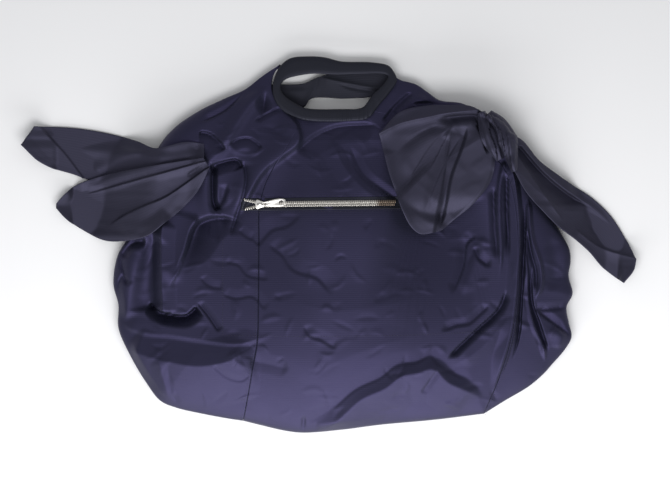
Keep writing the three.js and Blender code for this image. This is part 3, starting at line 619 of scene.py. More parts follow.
# %% Creases round the pocket
POCKET_FOLDS = [
    Fold(-1.1, 8, 2.2, [(201, 277), (206, 283), (213, 287), (223, 288)], "tent", (0.1, 0.1)),
    Fold(-1.0, 9, 2.2, [(225, 262), (239, 265), (248, 275), (269, 279)], "tent", (0.1, 0.1)),
    Fold(-1.0, 9, 2.2, [(223, 294), (236, 298), (252, 296), (258, 300), (266, 310)], "tent", (0.1, 0.1)),
    Fold(-1.4, 14, 2.6, [(257, 246), (272, 230), (286, 226), (302, 214)], "tent", (0.05, 0.2)),
    Fold(-1.0, 8, 2.2, [(239, 230), (246, 236), (253, 240)], "tent", (0.1, 0.1)),
    Fold(-1.4, 14, 3.0, [(268, 244), (283, 255), (295, 270), (318, 278), (333, 296)], "tent", (0.1, 0.2)),
    Fold(-1.2, 10, 2.6, [(304, 325), (310, 335), (321, 339), (336, 348)], "tent", (0.1, 0.1)),
    Fold(-1.0, 6, 2.4, [(213, 365), (228, 377), (242, 380), (250, 374)], "tent", (0.1, 0.1)),
    Fold(-1.7, 10, 10, [(250, 360), (270, 364), (290, 369)], "tent", (0.1, 0.2)),
    Fold(0.8, 4, 4, [(233, 350), (236, 362), (246, 366), (250, 356)], "round", (0.1, 0.1)),
    Fold(-0.8, 2, 3, [(240, 352), (246, 350), (252, 345)], "sharp", (0.1, 0.1)),
    Fold(1.1, 26, 30, [(290, 300), (330, 310), (380, 306), (430, 292)], "tent", (0.3, 0.3)),
    Fold(0.8, 20, 22, [(300, 380), (340, 360), (380, 345), (420, 335)], "tent", (0.3, 0.3)),
]
print(len(POCKET_FOLDS), "creases round the pocket")

# %% The bottom
BOTTOM_FOLDS = [
    Fold(
        7.5, 12, 30,
        [(316, 436), (338, 421), (361, 400), (386, 388), (402, 376), (418, 373), (432, 369), (449, 383),
         (470, 392), (484, 400)],
        "tent", (0.05, 0.15),
    ),
    Fold(
        -1.2, 12, 3,
        [(306, 424), (330, 409), (355, 388), (380, 376), (396, 364), (416, 361), (430, 355), (438, 363),
         (454, 373), (474, 382)],
        "tent", (0.05, 0.15),
    ),
    Fold(-1.6, 2, 6, [(421, 393), (429, 382), (437, 370)], "tent", (0.15, 0.1)),
    Fold(-2.5, 3, 3, [(304, 414), (303, 433)], "tent", (0.3, 0)),
]
print(len(BOTTOM_FOLDS), "the bottom")

# %% The pocket's corner and the shade
SHADE_FOLDS = [
    Fold(-7, 1.3, 7, [(447, 358), (462, 343), (478, 328), (498, 309), (506, 290)], "tent", (0.12, 0.1)),
    Fold(2.2, 12, 10, [(456, 364), (474, 354), (492, 338), (508, 318)], "tent", (0.2, 0.2)),
    Fold(-2.7, 7, 2.4, [(440, 331), (456, 325), (468, 323), (479, 314), (489, 305)], "tent", (0.15, 0.1)),
    Fold(-12, 12, 72, [(392, 200), (425, 212), (458, 208), (490, 198)], "round", (0.4, 0.4)),
    Fold(-2.6, 1.5, 9, [(477, 236), (467, 243), (463, 266), (452, 294)], "tent", (0.1, 0.15)),
    Fold(-3.4, 8, 3, [(474, 247), (479, 258), (491, 267)], "tent", (0.1, 0.2)),
    Fold(1.9, 6, 6, [(484, 236), (480, 250), (472, 272), (462, 296)], "round", (0.1, 0.2)),
]
print(len(SHADE_FOLDS), "the pocket's corner and the shade")

# %% Folds below the right knot
RIGHT_KNOT_FOLDS = [
    Fold(-4, 1.3, 7, [(494, 186), (494.5, 215), (496, 240), (498, 262)], "tent", (0.1, 0.2)),
    Fold(3.1, 3, 4, [(505, 160), (500, 186), (499.5, 215), (501, 250), (499, 282)], "tent", (0.05, 0.3)),
    Fold(-5, 1.3, 3.5, [(507, 174), (507, 205), (508, 232), (508, 262)], "tent", (0.05, 0.25)),
    Fold(
        5.6, 5, 11,
        [(509, 160), (515, 185), (518.5, 225), (518, 262), (515, 300), (511, 330), (502, 362), (492, 390)],
        "tent", (0.05, 0.15),
    ),
    Fold(
        -6.5, 1.3, 5,
        [(525, 205), (525, 240), (523, 275), (521, 310), (519, 335), (512, 362)],
        "tent", (0.15, 0.25),
    ),
    Fold(
        3.7, 2.2, 4,
        [(523, 240), (527, 272), (528.5, 303), (534, 326), (543, 346), (546, 362)],
        "tent", (0.15, 0.1),
    ),
    Fold(-7, 1.3, 9, [(532, 262), (532, 300), (540, 325), (549, 352)], "tent", (0.3, 0.15)),
    Fold(3.7, 4, 4, [(528, 198), (531.5, 238), (540, 266), (541, 284), (535, 300)], "tent", (0.1, 0.1)),
    Fold(-3, 1.3, 4, [(527, 225), (531, 252), (536, 272), (536, 290)], "tent", (0.2, 0.1)),
    Fold(-3.1, 7, 3, [(533, 309), (550, 309), (571, 307)], "tent", (0.1, 0)),
    Fold(-3.7, 8, 3, [(537, 310), (554, 323), (574, 338)], "tent", (0.1, 0)),
    Fold(2.5, 5, 8, [(548, 330), (560, 336), (562, 350)], "round", (0.2, 0.2)),
    Fold(-1.9, 8, 7, [(550, 236), (555, 262), (551, 292)], "round", (0.2, 0.2)),
]
print(len(RIGHT_KNOT_FOLDS), "folds below the right knot")

# %% Folds of the right shoulder
RIGHT_SHOULDER_FOLDS = [
    Fold(-3, 7, 3, [(412, 92), (396, 106), (383, 122)], "tent", (0.1, 0.1)),
    Fold(-3.1, 4, 3, [(412, 104), (440, 104), (476, 108)], "tent", (0.1, 0.05)),
    Fold(2.1, 6, 6, [(396, 116), (410, 104), (430, 97)], "round", (0.1, 0.2)),
]
print(len(RIGHT_SHOULDER_FOLDS), "folds of the right shoulder")

# %% All the folds of the front
FRONT_FOLDS = [
    *CHEST_FOLDS,
    *LEFT_SHOULDER_FOLDS,
    *HOLLOW_FOLDS,
    *PIT_FOLDS,
    *POCKET_FOLDS,
    *BOTTOM_FOLDS,
    *SHADE_FOLDS,
    *RIGHT_KNOT_FOLDS,
    *RIGHT_SHOULDER_FOLDS,
]
print(len(FRONT_FOLDS), "folds read off the photograph")

# %% [markdown]
# ## Small creases
#
# Handling leaves short, shallow creases all over crisp cloth. The photograph's are too many and too faint to
# be placed one by one, so these are drawn at random from a fixed seed, and are like the real ones in kind only.

# %% Small creases
CREASES = {"count": 260, "length": (10.0, 34.0), "width": (2.0, 6.0), "height": (0.3, 0.9), "bend": 5.0}
CREASE_AREA = ((115, 110), (570, 430))
CREASE_SPREAD = 0.75
CREASE_FADE = (0.4, 0.4)
CREASE_SEED = 7


def small_creases(seed):
    """Short creases all over the front, such as handling leaves in crisp cloth."""
    random = np.random.default_rng(seed)
    made = []
    for _ in range(CREASES["count"]):
        middle, angle = random.uniform(*CREASE_AREA), random.normal(0.0, CREASE_SPREAD)
        reach = random.uniform(*CREASES["length"]) / 2
        way = np.array([math.cos(angle), math.sin(angle)])
        bend = random.uniform(-1, 1) * CREASES["bend"] * np.array([-way[1], way[0]])
        path = [middle - reach * way, middle + bend, middle + reach * way]
        left, right = random.uniform(*CREASES["width"], size=2)
        height = random.uniform(*CREASES["height"]) * random.choice((-1, 1))
        made.append(Fold(height, left, right, path, "tent", CREASE_FADE))
    return made


ALL_FOLDS = FRONT_FOLDS + small_creases(CREASE_SEED)
print(len(ALL_FOLDS) - len(FRONT_FOLDS), "small creases")

# %% [markdown]
# ## The three front panels
#
# The panels are cut from one surface. Their edges turn under at the outline: where the bag is sewn they reach
# the back panel, and at the mouth they end in a free hem. The two seams open by a hair where they show, and
# close where folds hide them.

# %% Edges of the front panels
CURL_STEPS = 8
CURL = {"sewn": 11.0, "sewn_z": 0.3, "hem": 2.5, "hem_drop": 3.5, "from_y": 148.0, "to_y": 186.0}


def beside(line, gap):
    """The line that runs beside another, on its left hand where the gap is above 0."""
    step = np.gradient(line, axis=0)
    step /= np.linalg.norm(step, axis=1)[:, None]
    return line + gap * np.stack([step[:, 1], -step[:, 0]], axis=1)


def turned_under(xy):
    """Points that carry an edge of the outline on, round and under: places and heights for each step."""
    _, out = from_outline(xy)
    sewn = smoothstep(xy[:, 1], CURL["from_y"], CURL["to_y"])
    places, heights = [], []
    for step in range(1, CURL_STEPS + 1):
        angle = step / CURL_STEPS * math.pi / 2
        back = mix(CURL["hem"], CURL["sewn"], sewn) * (1 - math.cos(angle))
        drop = mix(CURL["hem_drop"], edge_height(xy[:, 1]) - CURL["sewn_z"], sewn) * math.sin(angle)
        places.append(xy - out * back[:, None])
        heights.append(edge_height(xy[:, 1]) - drop)
    return places, heights


print("the edges turn under in", CURL_STEPS, "steps")

# %% Build the front panels
NECK_LEFT = [(273, 76), (272, 90), (279, 103), (290, 112)]
NECK_FRONT = [(325, 119.5), (347, 119), (362, 116.5)]
NECK_RIGHT = [(379, 103), (388, 92), (394, 82)]
SEAM_GAP = 0.25
SEAM_LEFT_OPENS = (195, 215)
SEAM_RIGHT_OPENS = (300, 360)
SIDE_CROWDING = 1.1


def front_panel(name, grid, turned_side):
    """A panel with one edge turned under, and the heights of the part that isn't."""
    rows, columns = grid.shape[:2]
    xy = grid.reshape(-1, 2)
    z = flat_z = front_height(xy, ALL_FOLDS).reshape(rows, columns)
    if turned_side == "bottom":
        places, heights = turned_under(grid[-1])
        grid = np.vstack([grid, *[p[None] for p in places]])
        z = np.vstack([z, *[h[None] for h in heights]])
    else:
        column = 0 if turned_side == "left" else -1
        places, heights = turned_under(grid[:, column])
        extra = np.stack(places, axis=1)
        extra_z = np.stack(heights, axis=1)
        if turned_side == "left":
            grid, z = np.hstack([extra[:, ::-1], grid]), np.hstack([extra_z[:, ::-1], z])
        else:
            grid, z = np.hstack([grid, extra]), np.hstack([z, extra_z])
    points = spot(grid[..., 0], grid[..., 1], z)
    piece = cloth_piece(name, points, grid * MM, body_cloth, [name.replace("_cloth", "")])
    return piece, flat_z


left_gap = SEAM_GAP / 2 * smoothstep(seam_left[:, 1:], *SEAM_LEFT_OPENS)
right_gap = SEAM_GAP / 2 * smoothstep(seam_right[:, 1:], *SEAM_RIGHT_OPENS)
left_grid = patch(
    left_line, beside(seam_left, -left_gap), NECK_LEFT, [],
    columns=135, rows=290, crowd=lambda u: u**SIDE_CROWDING,
)
front_grid = patch(
    beside(seam_left, left_gap), beside(seam_right, -right_gap), NECK_FRONT, OUTLINE_BOTTOM[1:-1],
    columns=190, rows=235,
)
right_grid = patch(
    beside(seam_right, right_gap), right_line, NECK_RIGHT, [],
    columns=80, rows=290, crowd=lambda u: 1 - (1 - u) ** SIDE_CROWDING,
)
left_cloth, left_z = front_panel("left_panel_cloth", left_grid, "left")
front_cloth, front_z = front_panel("front_panel_cloth", front_grid, "bottom")
right_cloth, right_z = front_panel("right_panel_cloth", right_grid, "right")

# %% [markdown]
# ## What a later piece rests on
#
# The tails lie over the shoulders and run down to the table. A map with one cell a square millimetre keeps the
# highest cloth laid so far. Cloth over it never sinks into it and never falls off it more steeply than crisp
# nylon does.

# %% The map of what is laid
MAP_SHAPE = (520, 680)
MAP_MARGIN = 40
SLOPE_STEPS = 50
STEPS = ((0, 1), (0, -1), (1, 0), (-1, 0))
laid_map = np.zeros(MAP_SHAPE)


def lay(grid, z):
    """Marks a piece on the map of what is laid."""
    cell = np.rint(grid).astype(int).reshape(-1, 2)
    height = np.zeros(MAP_SHAPE)
    np.maximum.at(height, (cell[:, 1], cell[:, 0]), z.ravel())
    holes = np.max([np.roll(height, step, (0, 1)) for step in STEPS], axis=0)
    np.maximum(laid_map, np.where(height > 0, height, holes), out=laid_map)


def draped(grid, reach, slope, gap, smoothing=6):
    """The height map of cloth that lies over all that is laid, round a grid of places."""
    low = np.maximum(grid.reshape(-1, 2).min(0).astype(int) - MAP_MARGIN, 0)
    high = grid.reshape(-1, 2).max(0).astype(int) + MAP_MARGIN
    window = (slice(low[1], high[1]), slice(low[0], high[0]))
    cover = np.where(laid_map > 0, laid_map + gap, 0.0)[window]

    def around(drop=0.0):
        return [cover, *[np.roll(cover, step, (0, 1)) - drop for step in STEPS]]

    for _ in range(reach):
        cover = np.max(around(), axis=0)
    for _ in range(SLOPE_STEPS):
        cover = np.max(around(slope), axis=0)
    for _ in range(smoothing):
        cover = np.mean(around(), axis=0)
    whole = laid_map.copy()
    whole[window] = cover
    return whole


def read_map(height, xy):
    """The height of a map at many places."""
    x = np.clip(xy[..., 0], 0, MAP_SHAPE[1] - 2)
    y = np.clip(xy[..., 1], 0, MAP_SHAPE[0] - 2)
    i, j = x.astype(int), y.astype(int)
    top = mix(height[j, i], height[j, i + 1], x - i)
    bottom = mix(height[j + 1, i], height[j + 1, i + 1], x - i)
    return mix(top, bottom, y - j)


for grid, z in ((left_grid, left_z), (front_grid, front_z), (right_grid, right_z)):
    lay(grid, z)
print("highest cloth laid:", round(float(laid_map.max()), 1), "mm")

# %% [markdown]
# ## The back panel
#
# The back lies flat on the table under the front. It is sewn to the turned-under front round the bottom and the
# sides, and it ends below the hand hole, where its own handle strip crosses. Nothing of it shows from above, so
# its outline is a guess: the front's, a little smaller.

# %% Build the back panel
BACK_LEFT = [
    (264, 103), (215, 122), (176, 146), (166, 176), (154, 210), (140, 242), (130, 262), (127, 284), (132, 305),
    (132, 326), (143, 352), (158, 377), (176, 391), (246, 409),
]
BACK_RIGHT = [
    (400, 97), (450, 112), (494, 130), (506, 152), (516, 176), (530, 206), (545, 232), (556, 256), (556, 290),
    (553, 310), (557, 335), (548, 352), (530, 371), (503, 389), (481, 400),
]
BACK_TOP = [(285, 108), (305, 115), (335, 116), (365, 114), (384, 108)]
BACK_BOTTOM = [(273, 415), (303, 420), (342, 417), (381, 413), (435, 407)]
BACK_LEVEL = 0.9

back_grid = patch(smooth_line(BACK_LEFT), smooth_line(BACK_RIGHT), BACK_TOP, BACK_BOTTOM, columns=70, rows=70)
back_points = spot(back_grid[..., 0], back_grid[..., 1], np.full(back_grid.shape[:2], BACK_LEVEL))
back_cloth = cloth_piece("back_panel_cloth", back_points, back_grid * MM, body_cloth, ["back_panel"])

# %% [markdown]
# ## The neck ring
#
# A bias strip is bound round the raw edge of the front's hand hole. Its lower stretch gathers a little, because
# the front is eased into it.

# %% The edges of the neck ring
RING_OUTER = [
    (273, 95), (274, 78), (280, 66), (290, 58), (310, 56), (325, 57), (341, 61), (372, 62), (388, 65), (393, 70),
    (397, 80), (390, 92), (380, 104), (368, 118), (350, 121), (312, 121), (300, 119), (290, 115), (280, 108),
]
RING_INNER = [
    (281, 91), (281, 84), (286, 79), (296, 76), (313, 73.5), (334, 74.6), (360, 74), (384, 74), (388, 76),
    (383, 85), (377, 90), (370, 98), (364, 106.5), (357, 109), (345, 109), (312, 109), (304, 107.5), (295, 103),
    (286, 97),
]
RING_ROUND, RING_ACROSS = 420, 14
RING_BLUR = 7


def looped_line(points):
    """A closed line that begins at its point nearest to the first one given."""
    line = smooth_line(points, closed=True)[:-1]
    first = np.argmin(np.linalg.norm(line - np.array(points[0]), axis=1))
    return np.roll(line, -first, axis=0)


def evened(line):
    """A closed line whose points are each the mean of their neighbours."""
    weights = np.ones(2 * RING_BLUR + 1) / (2 * RING_BLUR + 1)
    wrapped = np.vstack([line[-RING_BLUR:], line, line[:RING_BLUR]])
    return np.stack([np.convolve(wrapped[:, k], weights, "valid") for k in (0, 1)], axis=1)


ring_share = np.linspace(0, 1, RING_ROUND, endpoint=False)
outer_edge, inner_edge = along(looped_line(RING_OUTER), ring_share), along(looped_line(RING_INNER), ring_share)
opposite = [np.argmin(np.linalg.norm(inner_edge - point, axis=1)) for point in outer_edge]
matched = evened(inner_edge[np.maximum.accumulate(opposite)])
ring_across = np.linspace(0, 1, RING_ACROSS + 1)
ring_grid = mix(outer_edge[:, None], matched[:, None], ring_across[None, :, None])
print("neck ring:", ring_grid.shape[0], "places round and", ring_grid.shape[1], "across")

# %% Build the neck ring
BINDING = {"lift": 2.6, "arch": 1.3, "thickness": 0.0016, "length": 0.34, "width": 0.012}
GATHERS = {"x": 345, "reach": 40, "below_y": 100, "height": 0.35}

ring_x, ring_y = ring_grid[..., 0], ring_grid[..., 1]
ring_arch = BINDING["arch"] * (1 - (2 * ring_across - 1) ** 4)[None]
low_band = np.exp(-(((ring_x - GATHERS["x"]) / GATHERS["reach"]) ** 2)) * (ring_y > GATHERS["below_y"])
gathers = GATHERS["height"] * low_band * np.sin(ring_x * 1.15 + np.sin(ring_x * 0.31) * 1.6)
ring_z = crown(ring_x, ring_y) + BINDING["lift"] + ring_arch + gathers
ring_uv = np.stack(
    np.broadcast_arrays(ring_share[:, None] * BINDING["length"], ring_across[None] * BINDING["width"]), axis=-1
)
ring_cloth = cloth_piece(
    "neck_ring_cloth", spot(ring_x, ring_y, ring_z).transpose(1, 0, 2), ring_uv.transpose(1, 0, 2), band_cloth,
    ["neck_ring"], thickness=BINDING["thickness"], looped=True,
)
lay(ring_grid, ring_z)

# %% [markdown]
# ## The handle strip of the back
#
# Through the hand hole one sees the handle of the back, which has slumped: it hangs in a fold at its left end
# and lies folded over lengthways.

# %% Build the back handle
HANDLE_TOP = [(264, 84), (284, 84), (303, 83), (320, 76), (345, 71), (375, 70), (400, 80)]
HANDLE_BOTTOM = [(268, 102), (286, 103), (304, 106.5), (311, 98.5), (345, 98.3), (370, 97), (404, 94)]
HANDLE_LEVEL = 4.0
HANDLE_FOLDS = [
    Fold(1.6, 3, 9, [(318, 77), (316, 86), (311, 95), (305, 105)], "sharp", (0, 0)),
    Fold(1.4, 2, 8, [(321, 77), (345, 82), (366, 86), (392, 89)], "sharp", (0.1, 0)),
    Fold(-1.0, 2, 2, [(336, 83), (356, 88), (392, 93)], "round", (0.3, 0)),
    Fold(1.0, 4, 8, [(270, 90), (290, 92), (308, 90)], "round", (0.1, 0.3)),
]


def strip(top, bottom, end, columns, rows):
    """A grid between the top and the bottom edge of a strip, from its root to its end."""
    root = smooth_line([top[0], bottom[0]])
    tip = smooth_line([top[-1], *end, bottom[-1]])
    return patch(root, tip, top[1:-1], bottom[1:-1], columns, rows)


def strip_uv(grid):
    """Lengths along and across a strip, in metres."""
    columns = np.linalg.norm(np.diff(grid, axis=1), axis=2).mean(0)
    rows = np.linalg.norm(np.diff(grid, axis=0), axis=2).mean(1)
    u = np.concatenate([[0], np.cumsum(columns)])
    v = np.concatenate([[0], np.cumsum(rows)])
    return np.stack(np.meshgrid(u, v), axis=-1) * MM


handle_grid = strip(HANDLE_TOP, HANDLE_BOTTOM, [], columns=130, rows=36)
handle_folds = fold_heights(HANDLE_FOLDS, handle_grid.reshape(-1, 2)).reshape(handle_grid.shape[:2])
handle_z = HANDLE_LEVEL + handle_folds
handle_points = spot(handle_grid[..., 0], handle_grid[..., 1], handle_z)
handle_cloth = cloth_piece(
    "back_handle_cloth", handle_points, strip_uv(handle_grid), band_cloth, ["back_handle"]
)

# %% [markdown]
# ## The ties
#
# Each shoulder ends in two tapering tails. They are cut double and turned, so their edges are clean and a
# little thicker than their middle, and the knot draws their creases together at the root. A tail is a strip
# between its top and its bottom edge, from the knot to the tip, and it is laid over all that is below it. Its
# rise lifts it at the knot, its puff is the share of that lift which is left further out, and its slope is how
# steeply it may fall towards the table.

# %% The tails of the left shoulder
Tail = namedtuple("Tail", "name node columns rows rise puff slope top bottom end folds")
LEFT_TAILS = [
    Tail(
        "left_tail_upper_cloth", "left_tail_upper", 190, 60, 0.0, 0.0, 0.5,
        [(204, 144), (185, 142), (168, 146), (154, 148), (137, 141), (105, 132.5), (72, 127.5), (34, 126)],
        [(204, 160), (170, 168), (140, 172), (112, 179), (90, 180), (72, 174), (52, 168), (38, 161), (21, 144.5)],
        [],
        [
            Fold(2.0, 2, 14, [(38, 125), (50, 139), (63, 153), (82, 178)], "tent", (0, 0)),
            Fold(3.5, 8, 8, [(186, 150), (150, 153), (110, 152), (70, 148)], "round", (0, 0.4)),
            Fold(-2.5, 5, 5, [(196, 148), (170, 152), (140, 149), (112, 143)], "round", (0, 0.5)),
            Fold(2.0, 5, 7, [(150, 148), (118, 158), (92, 172)], "round", (0.3, 0.1)),
        ],
    ),
    Tail(
        "left_tail_lower_cloth", "left_tail_lower", 190, 90, 4.0, 0.0, 0.55,
        [(204, 158), (170, 163), (140, 168), (112, 173), (88, 180), (74, 186), (61, 198), (56, 204)],
        [
            (210, 168), (200, 188), (186, 205), (165, 223), (147, 236), (125, 241), (104, 240.5), (82, 230),
            (66, 219), (56, 208),
        ],
        [],
        [
            Fold(3.4, 24, 1.8, [(201, 163), (165, 173), (131, 182), (102, 190), (77, 196)], "tent", (0, 0.35)),
            Fold(
                3.8, 22, 1.8,
                [(206, 170), (185, 185), (165, 198), (143, 207), (124, 216), (108, 226)],
                "tent", (0, 0.15),
            ),
            Fold(-1.6, 4, 2, [(204, 165), (195, 171), (186, 177)], "round", (0, 0.3)),
            Fold(1.4, 12, 4, [(190, 160), (150, 166), (118, 176), (90, 188)], "round", (0.1, 0.3)),
        ],
    ),
]
print(len(LEFT_TAILS), "tails at the left shoulder")

# %% The tails of the right shoulder
RIGHT_TAILS = [
    Tail(
        "right_tail_far_cloth", "right_tail_far", 190, 66, 2.0, 0.0, 0.5,
        [
            (508, 133), (522, 140), (539, 160), (556, 173), (575, 186), (592, 197), (611, 215), (626, 238),
            (636.5, 259),
        ],
        [(512, 168), (526, 192), (540, 208), (558, 226), (574, 238), (590, 252), (602, 266), (610, 273), (624, 283)],
        [(634, 270)],
        [
            Fold(2, 5, 5, [(516, 140), (540, 170), (572, 194), (600, 213), (622, 236)], "round", (0, 0.4)),
            Fold(-8, 2.5, 16, [(520, 148), (541, 172), (565, 192), (594, 209)], "tent", (0, 0.3)),
            Fold(2.5, 3, 6, [(514, 150), (530, 175), (548, 200), (564, 222)], "sharp", (0, 0.2)),
            Fold(2.4, 2, 6, [(575, 229), (600, 247), (620, 254), (636, 258)], "sharp", (0.1, 0)),
            Fold(-1.5, 4, 6, [(590, 222), (608, 238), (626, 250)], "round", (0.2, 0.2)),
        ],
    ),
    Tail(
        "right_tail_front_cloth", "right_tail_front", 150, 160, 5.5, 0.9, 0.7,
        [(489, 116), (470, 106), (450, 105), (425, 106), (400, 112), (379, 134)],
        [(487, 132), (494, 150), (494, 168), (490, 182), (482, 194), (470, 207), (455, 219), (442, 230)],
        [(383, 150), (388, 170), (394, 188), (402, 210), (411, 227), (420, 234), (432, 233)],
        [
            Fold(6, 12, 3, [(379, 134), (400, 124), (425, 118), (445, 114), (478, 110)], "sharp", (0, 0)),
            Fold(-4, 2, 7, [(436, 120), (452, 117), (470, 116), (482, 117)], "round", (0.3, 0)),
            Fold(-4.5, 3, 34, [(467, 126), (461, 146), (450, 176), (445, 203), (440, 229)], "tent", (0.1, 0.15)),
            Fold(
                4, 4, 26,
                [(480, 126), (490, 145), (489, 170), (478, 194), (460, 212), (446, 226)],
                "round", (0.1, 0.1),
            ),
            Fold(2, 7, 12, [(384, 148), (390, 172), (398, 200), (409, 226)], "round", (0.1, 0.1)),
            Fold(7, 55, 16, [(388, 196), (408, 213), (440, 220)], "round", (0.2, 0.1)),
            Fold(-1.4, 7, 2, [(452, 126), (432, 146), (416, 170), (404, 190)], "tent", (0.2, 0.3)),
            Fold(-1.2, 2, 8, [(462, 134), (446, 160), (432, 190), (424, 214)], "tent", (0.2, 0.3)),
            Fold(-1.0, 6, 2, [(440, 124), (418, 134), (398, 150)], "tent", (0.2, 0.3)),
            Fold(-5, 6, 1.5, [(478, 126), (484, 140), (487, 155)], "round", (0, 0.3)),
            Fold(2.2, 5, 5, [(450, 142), (450, 131), (458, 124), (470, 122)], "round", (0.2, 0)),
            Fold(-2.0, 6, 8, [(468, 128), (450, 150), (438, 180), (428, 214)], "round", (0.1, 0.3)),
            Fold(1.8, 9, 9, [(462, 124), (430, 140), (405, 165), (398, 190)], "round", (0.1, 0.3)),
            Fold(-1.4, 6, 6, [(455, 124), (420, 134), (394, 156)], "round", (0.1, 0.3)),
        ],
    ),
]
print(len(RIGHT_TAILS), "tails at the right shoulder")

# %% Build the tails
TIE_THICKNESS = 1.0
TIE_GAP = 0.4
TIE_CLEARANCE = 1.6
TIE_REACH = 5
LIFT_ENDS = 0.3
HEM = {"width": 4.0, "height": 0.2, "groove": 0.15, "groove_in": 0.8, "groove_width": 0.5, "falls": (-0.6, 0.4)}


def hem_height(grid):
    """The turned edge of a tail: raised, with a groove where it is stitched, on all sides but the root."""
    top, bottom, tip = grid[0], grid[-1], grid[:, -1]
    xy = grid.reshape(-1, 2)
    gap = np.min([np.abs(nearest(line, xy)[0]) for line in (top[::3], bottom[::3], tip[::3])], axis=0)
    raised = HEM["height"] * (1 - smoothstep(gap, *(HEM["width"] + step for step in HEM["falls"])))
    groove = HEM["groove"] * np.exp(-(((gap - HEM["width"] + HEM["groove_in"]) / HEM["groove_width"]) ** 2))
    return (raised - groove).reshape(grid.shape[:2])


def build_tail(row):
    """A tail laid over all that is below it, which is then part of what the next piece lies on."""
    grid = strip(row.top, row.bottom, row.end, row.columns, row.rows)
    cover = draped(grid, TIE_REACH, row.slope, TIE_CLEARANCE)
    lift = row.rise * mix(1.0, row.puff, smoothstep(np.linspace(0, 1, row.columns + 1), 0, LIFT_ENDS))[None]
    z = read_map(cover, grid) + TIE_THICKNESS + lift + hem_height(grid)
    z += fold_heights(row.folds, grid.reshape(-1, 2)).reshape(z.shape)
    z = np.maximum(z, read_map(laid_map, grid) + TIE_THICKNESS + TIE_GAP)
    piece = cloth_piece(
        row.name, spot(grid[..., 0], grid[..., 1], z), strip_uv(grid), tie_cloth, [row.node],
        thickness=TIE_THICKNESS * MM,
    )
    lay(grid, z)
    return piece


tails = {row.node: build_tail(row) for row in LEFT_TAILS + RIGHT_TAILS}

# %% [markdown]
# ## The knots
#
# The right knot is a bundle of gathered cloth that another bundle crosses. Each bundle is a strip that arches
# over its own path, with pleats that run along it and pinch together at its ends. The left knot is a pinch that
# sinks into the cloth, so nothing is laid there: the creases of both left tails meet in it.

# %% Bundles of gathered cloth
Bundle = namedtuple("Bundle", "name path widths high pleats depth seed")
RIGHT_BUNDLES = [
    Bundle("right_knot_core", [(481, 112), (485, 124), (491, 140), (500, 160)], (4, 10, 4), 9.0, 3, 0.06, 3.0),
    Bundle("right_knot_wrap", [(488, 114), (500, 125), (508, 143), (514, 172)], (5, 10.5, 3), 13.0, 0, 0.0, 4.0),
]
BUNDLE_STEP = 0.8
BUNDLE_ACROSS = 45
BUNDLE_GAP = 0.5
BUNDLE_LOWEST = 1.2
BUNDLE_THICKNESS = 0.0008


def build_bundle(row, node):
    """A pleated roll of cloth that arches over its path and rests on what is laid."""
    line = smooth_line(row.path, step=BUNDLE_STEP)
    direction = np.gradient(line, axis=0)
    direction /= np.linalg.norm(direction, axis=1)[:, None]
    hand = np.stack([direction[:, 1], -direction[:, 0]], axis=1)
    t = np.linspace(0, 1, len(line))
    width = np.interp(t, (0, 0.5, 1), row.widths)
    angle = np.linspace(-math.pi / 2, math.pi / 2, BUNDLE_ACROSS)
    ripple = np.cos(angle[None] * 2 * row.pleats + row.seed + 1.4 * np.sin(5 * t + row.seed)[:, None])
    swell = 1 + row.depth * ripple
    swell += 0.015 * np.cos(9 * angle[None] + 13 * t[:, None] + row.seed)
    ends = np.sin(np.clip(t * 0.9 + 0.05, 0, 1) * math.pi) ** 0.45
    side = np.sin(angle)[None] * width[:, None] * swell
    grid = line[:, None] + hand[:, None] * side[..., None]
    base = read_map(draped(line, reach=2, slope=0.8, gap=0.4), line)[:, None] + BUNDLE_GAP
    floor = read_map(laid_map, grid)
    arch = np.cos(angle)[None] * row.high * swell * ends[:, None]
    z = np.maximum(mix(floor + BUNDLE_GAP, base, 0.6), BUNDLE_LOWEST) + arch
    uv = np.stack(np.broadcast_arrays(t[:, None] * 0.04, angle[None] * 0.012), axis=-1)
    piece = cloth_piece(
        row.name, spot(grid[..., 0], grid[..., 1], z), uv, tie_cloth, [node],
        thickness=BUNDLE_THICKNESS,
    )
    lay(grid, z)
    return piece


knots = [build_bundle(row, "right_tail_front") for row in RIGHT_BUNDLES]

# %% [markdown]
# ## The zip
#
# The pocket closes with a metal zip. Its tape is a woven strip sewn behind the slit. Each tooth is a small
# bevelled block, an array makes a row of them, and the two rows mesh half a pitch apart. Left of the slider the
# rows part. The last teeth on the right are painted dark brown, a painted shadow of the tail that lies over that
# end.

# %% Metal
GRIME_SCALE, SCRATCH_SCALE = 420.0, 3000.0
SCRATCH_STRETCH = (0.15, 1.0, 1.0)
SCRATCH_STRENGTH, SCRATCH_DEPTH = 0.15, 0.0001


def metal(name, dark, light, tail_shadow=None):
    """A scratched metal. One with a painted tail shadow turns dark brown from a place along the zip on."""
    shader = Shader(name)
    place = shader.node("ShaderNodeTexCoord", {}, output="Object")
    grime = shader.noise(place, GRIME_SCALE, 3.0)
    scratch_place = shader.node("ShaderNodeMapping", {}, {"Vector": place, "Scale": SCRATCH_STRETCH})
    scratches = shader.noise(scratch_place, SCRATCH_SCALE)
    colour = shader.colours(grime, dark, light)
    # painted shadow: past a place along the zip the teeth turn dark brown, standing in for the tail's shadow
    if tail_shadow:
        x = shader.node("ShaderNodeSeparateXYZ", {}, {"Vector": place}, output="X")
        from_x = float(spot(tail_shadow["from"], 0)[0])
        value, low, high, low_result, high_result = range(5)
        limits = {value: x, low: from_x, high: from_x + tail_shadow["over"] * MM, low_result: 0.0, high_result: 1.0}
        colour = shader.colours(shader.node("ShaderNodeMapRange", {}, limits), colour, tail_shadow["colour"])
    shader.set(Base_Color=colour, Metallic=1.0, Roughness=0.22 + grime * 0.2 + scratches * 0.1)
    shader.bump(scratches, SCRATCH_STRENGTH, SCRATCH_DEPTH)
    return shader.material
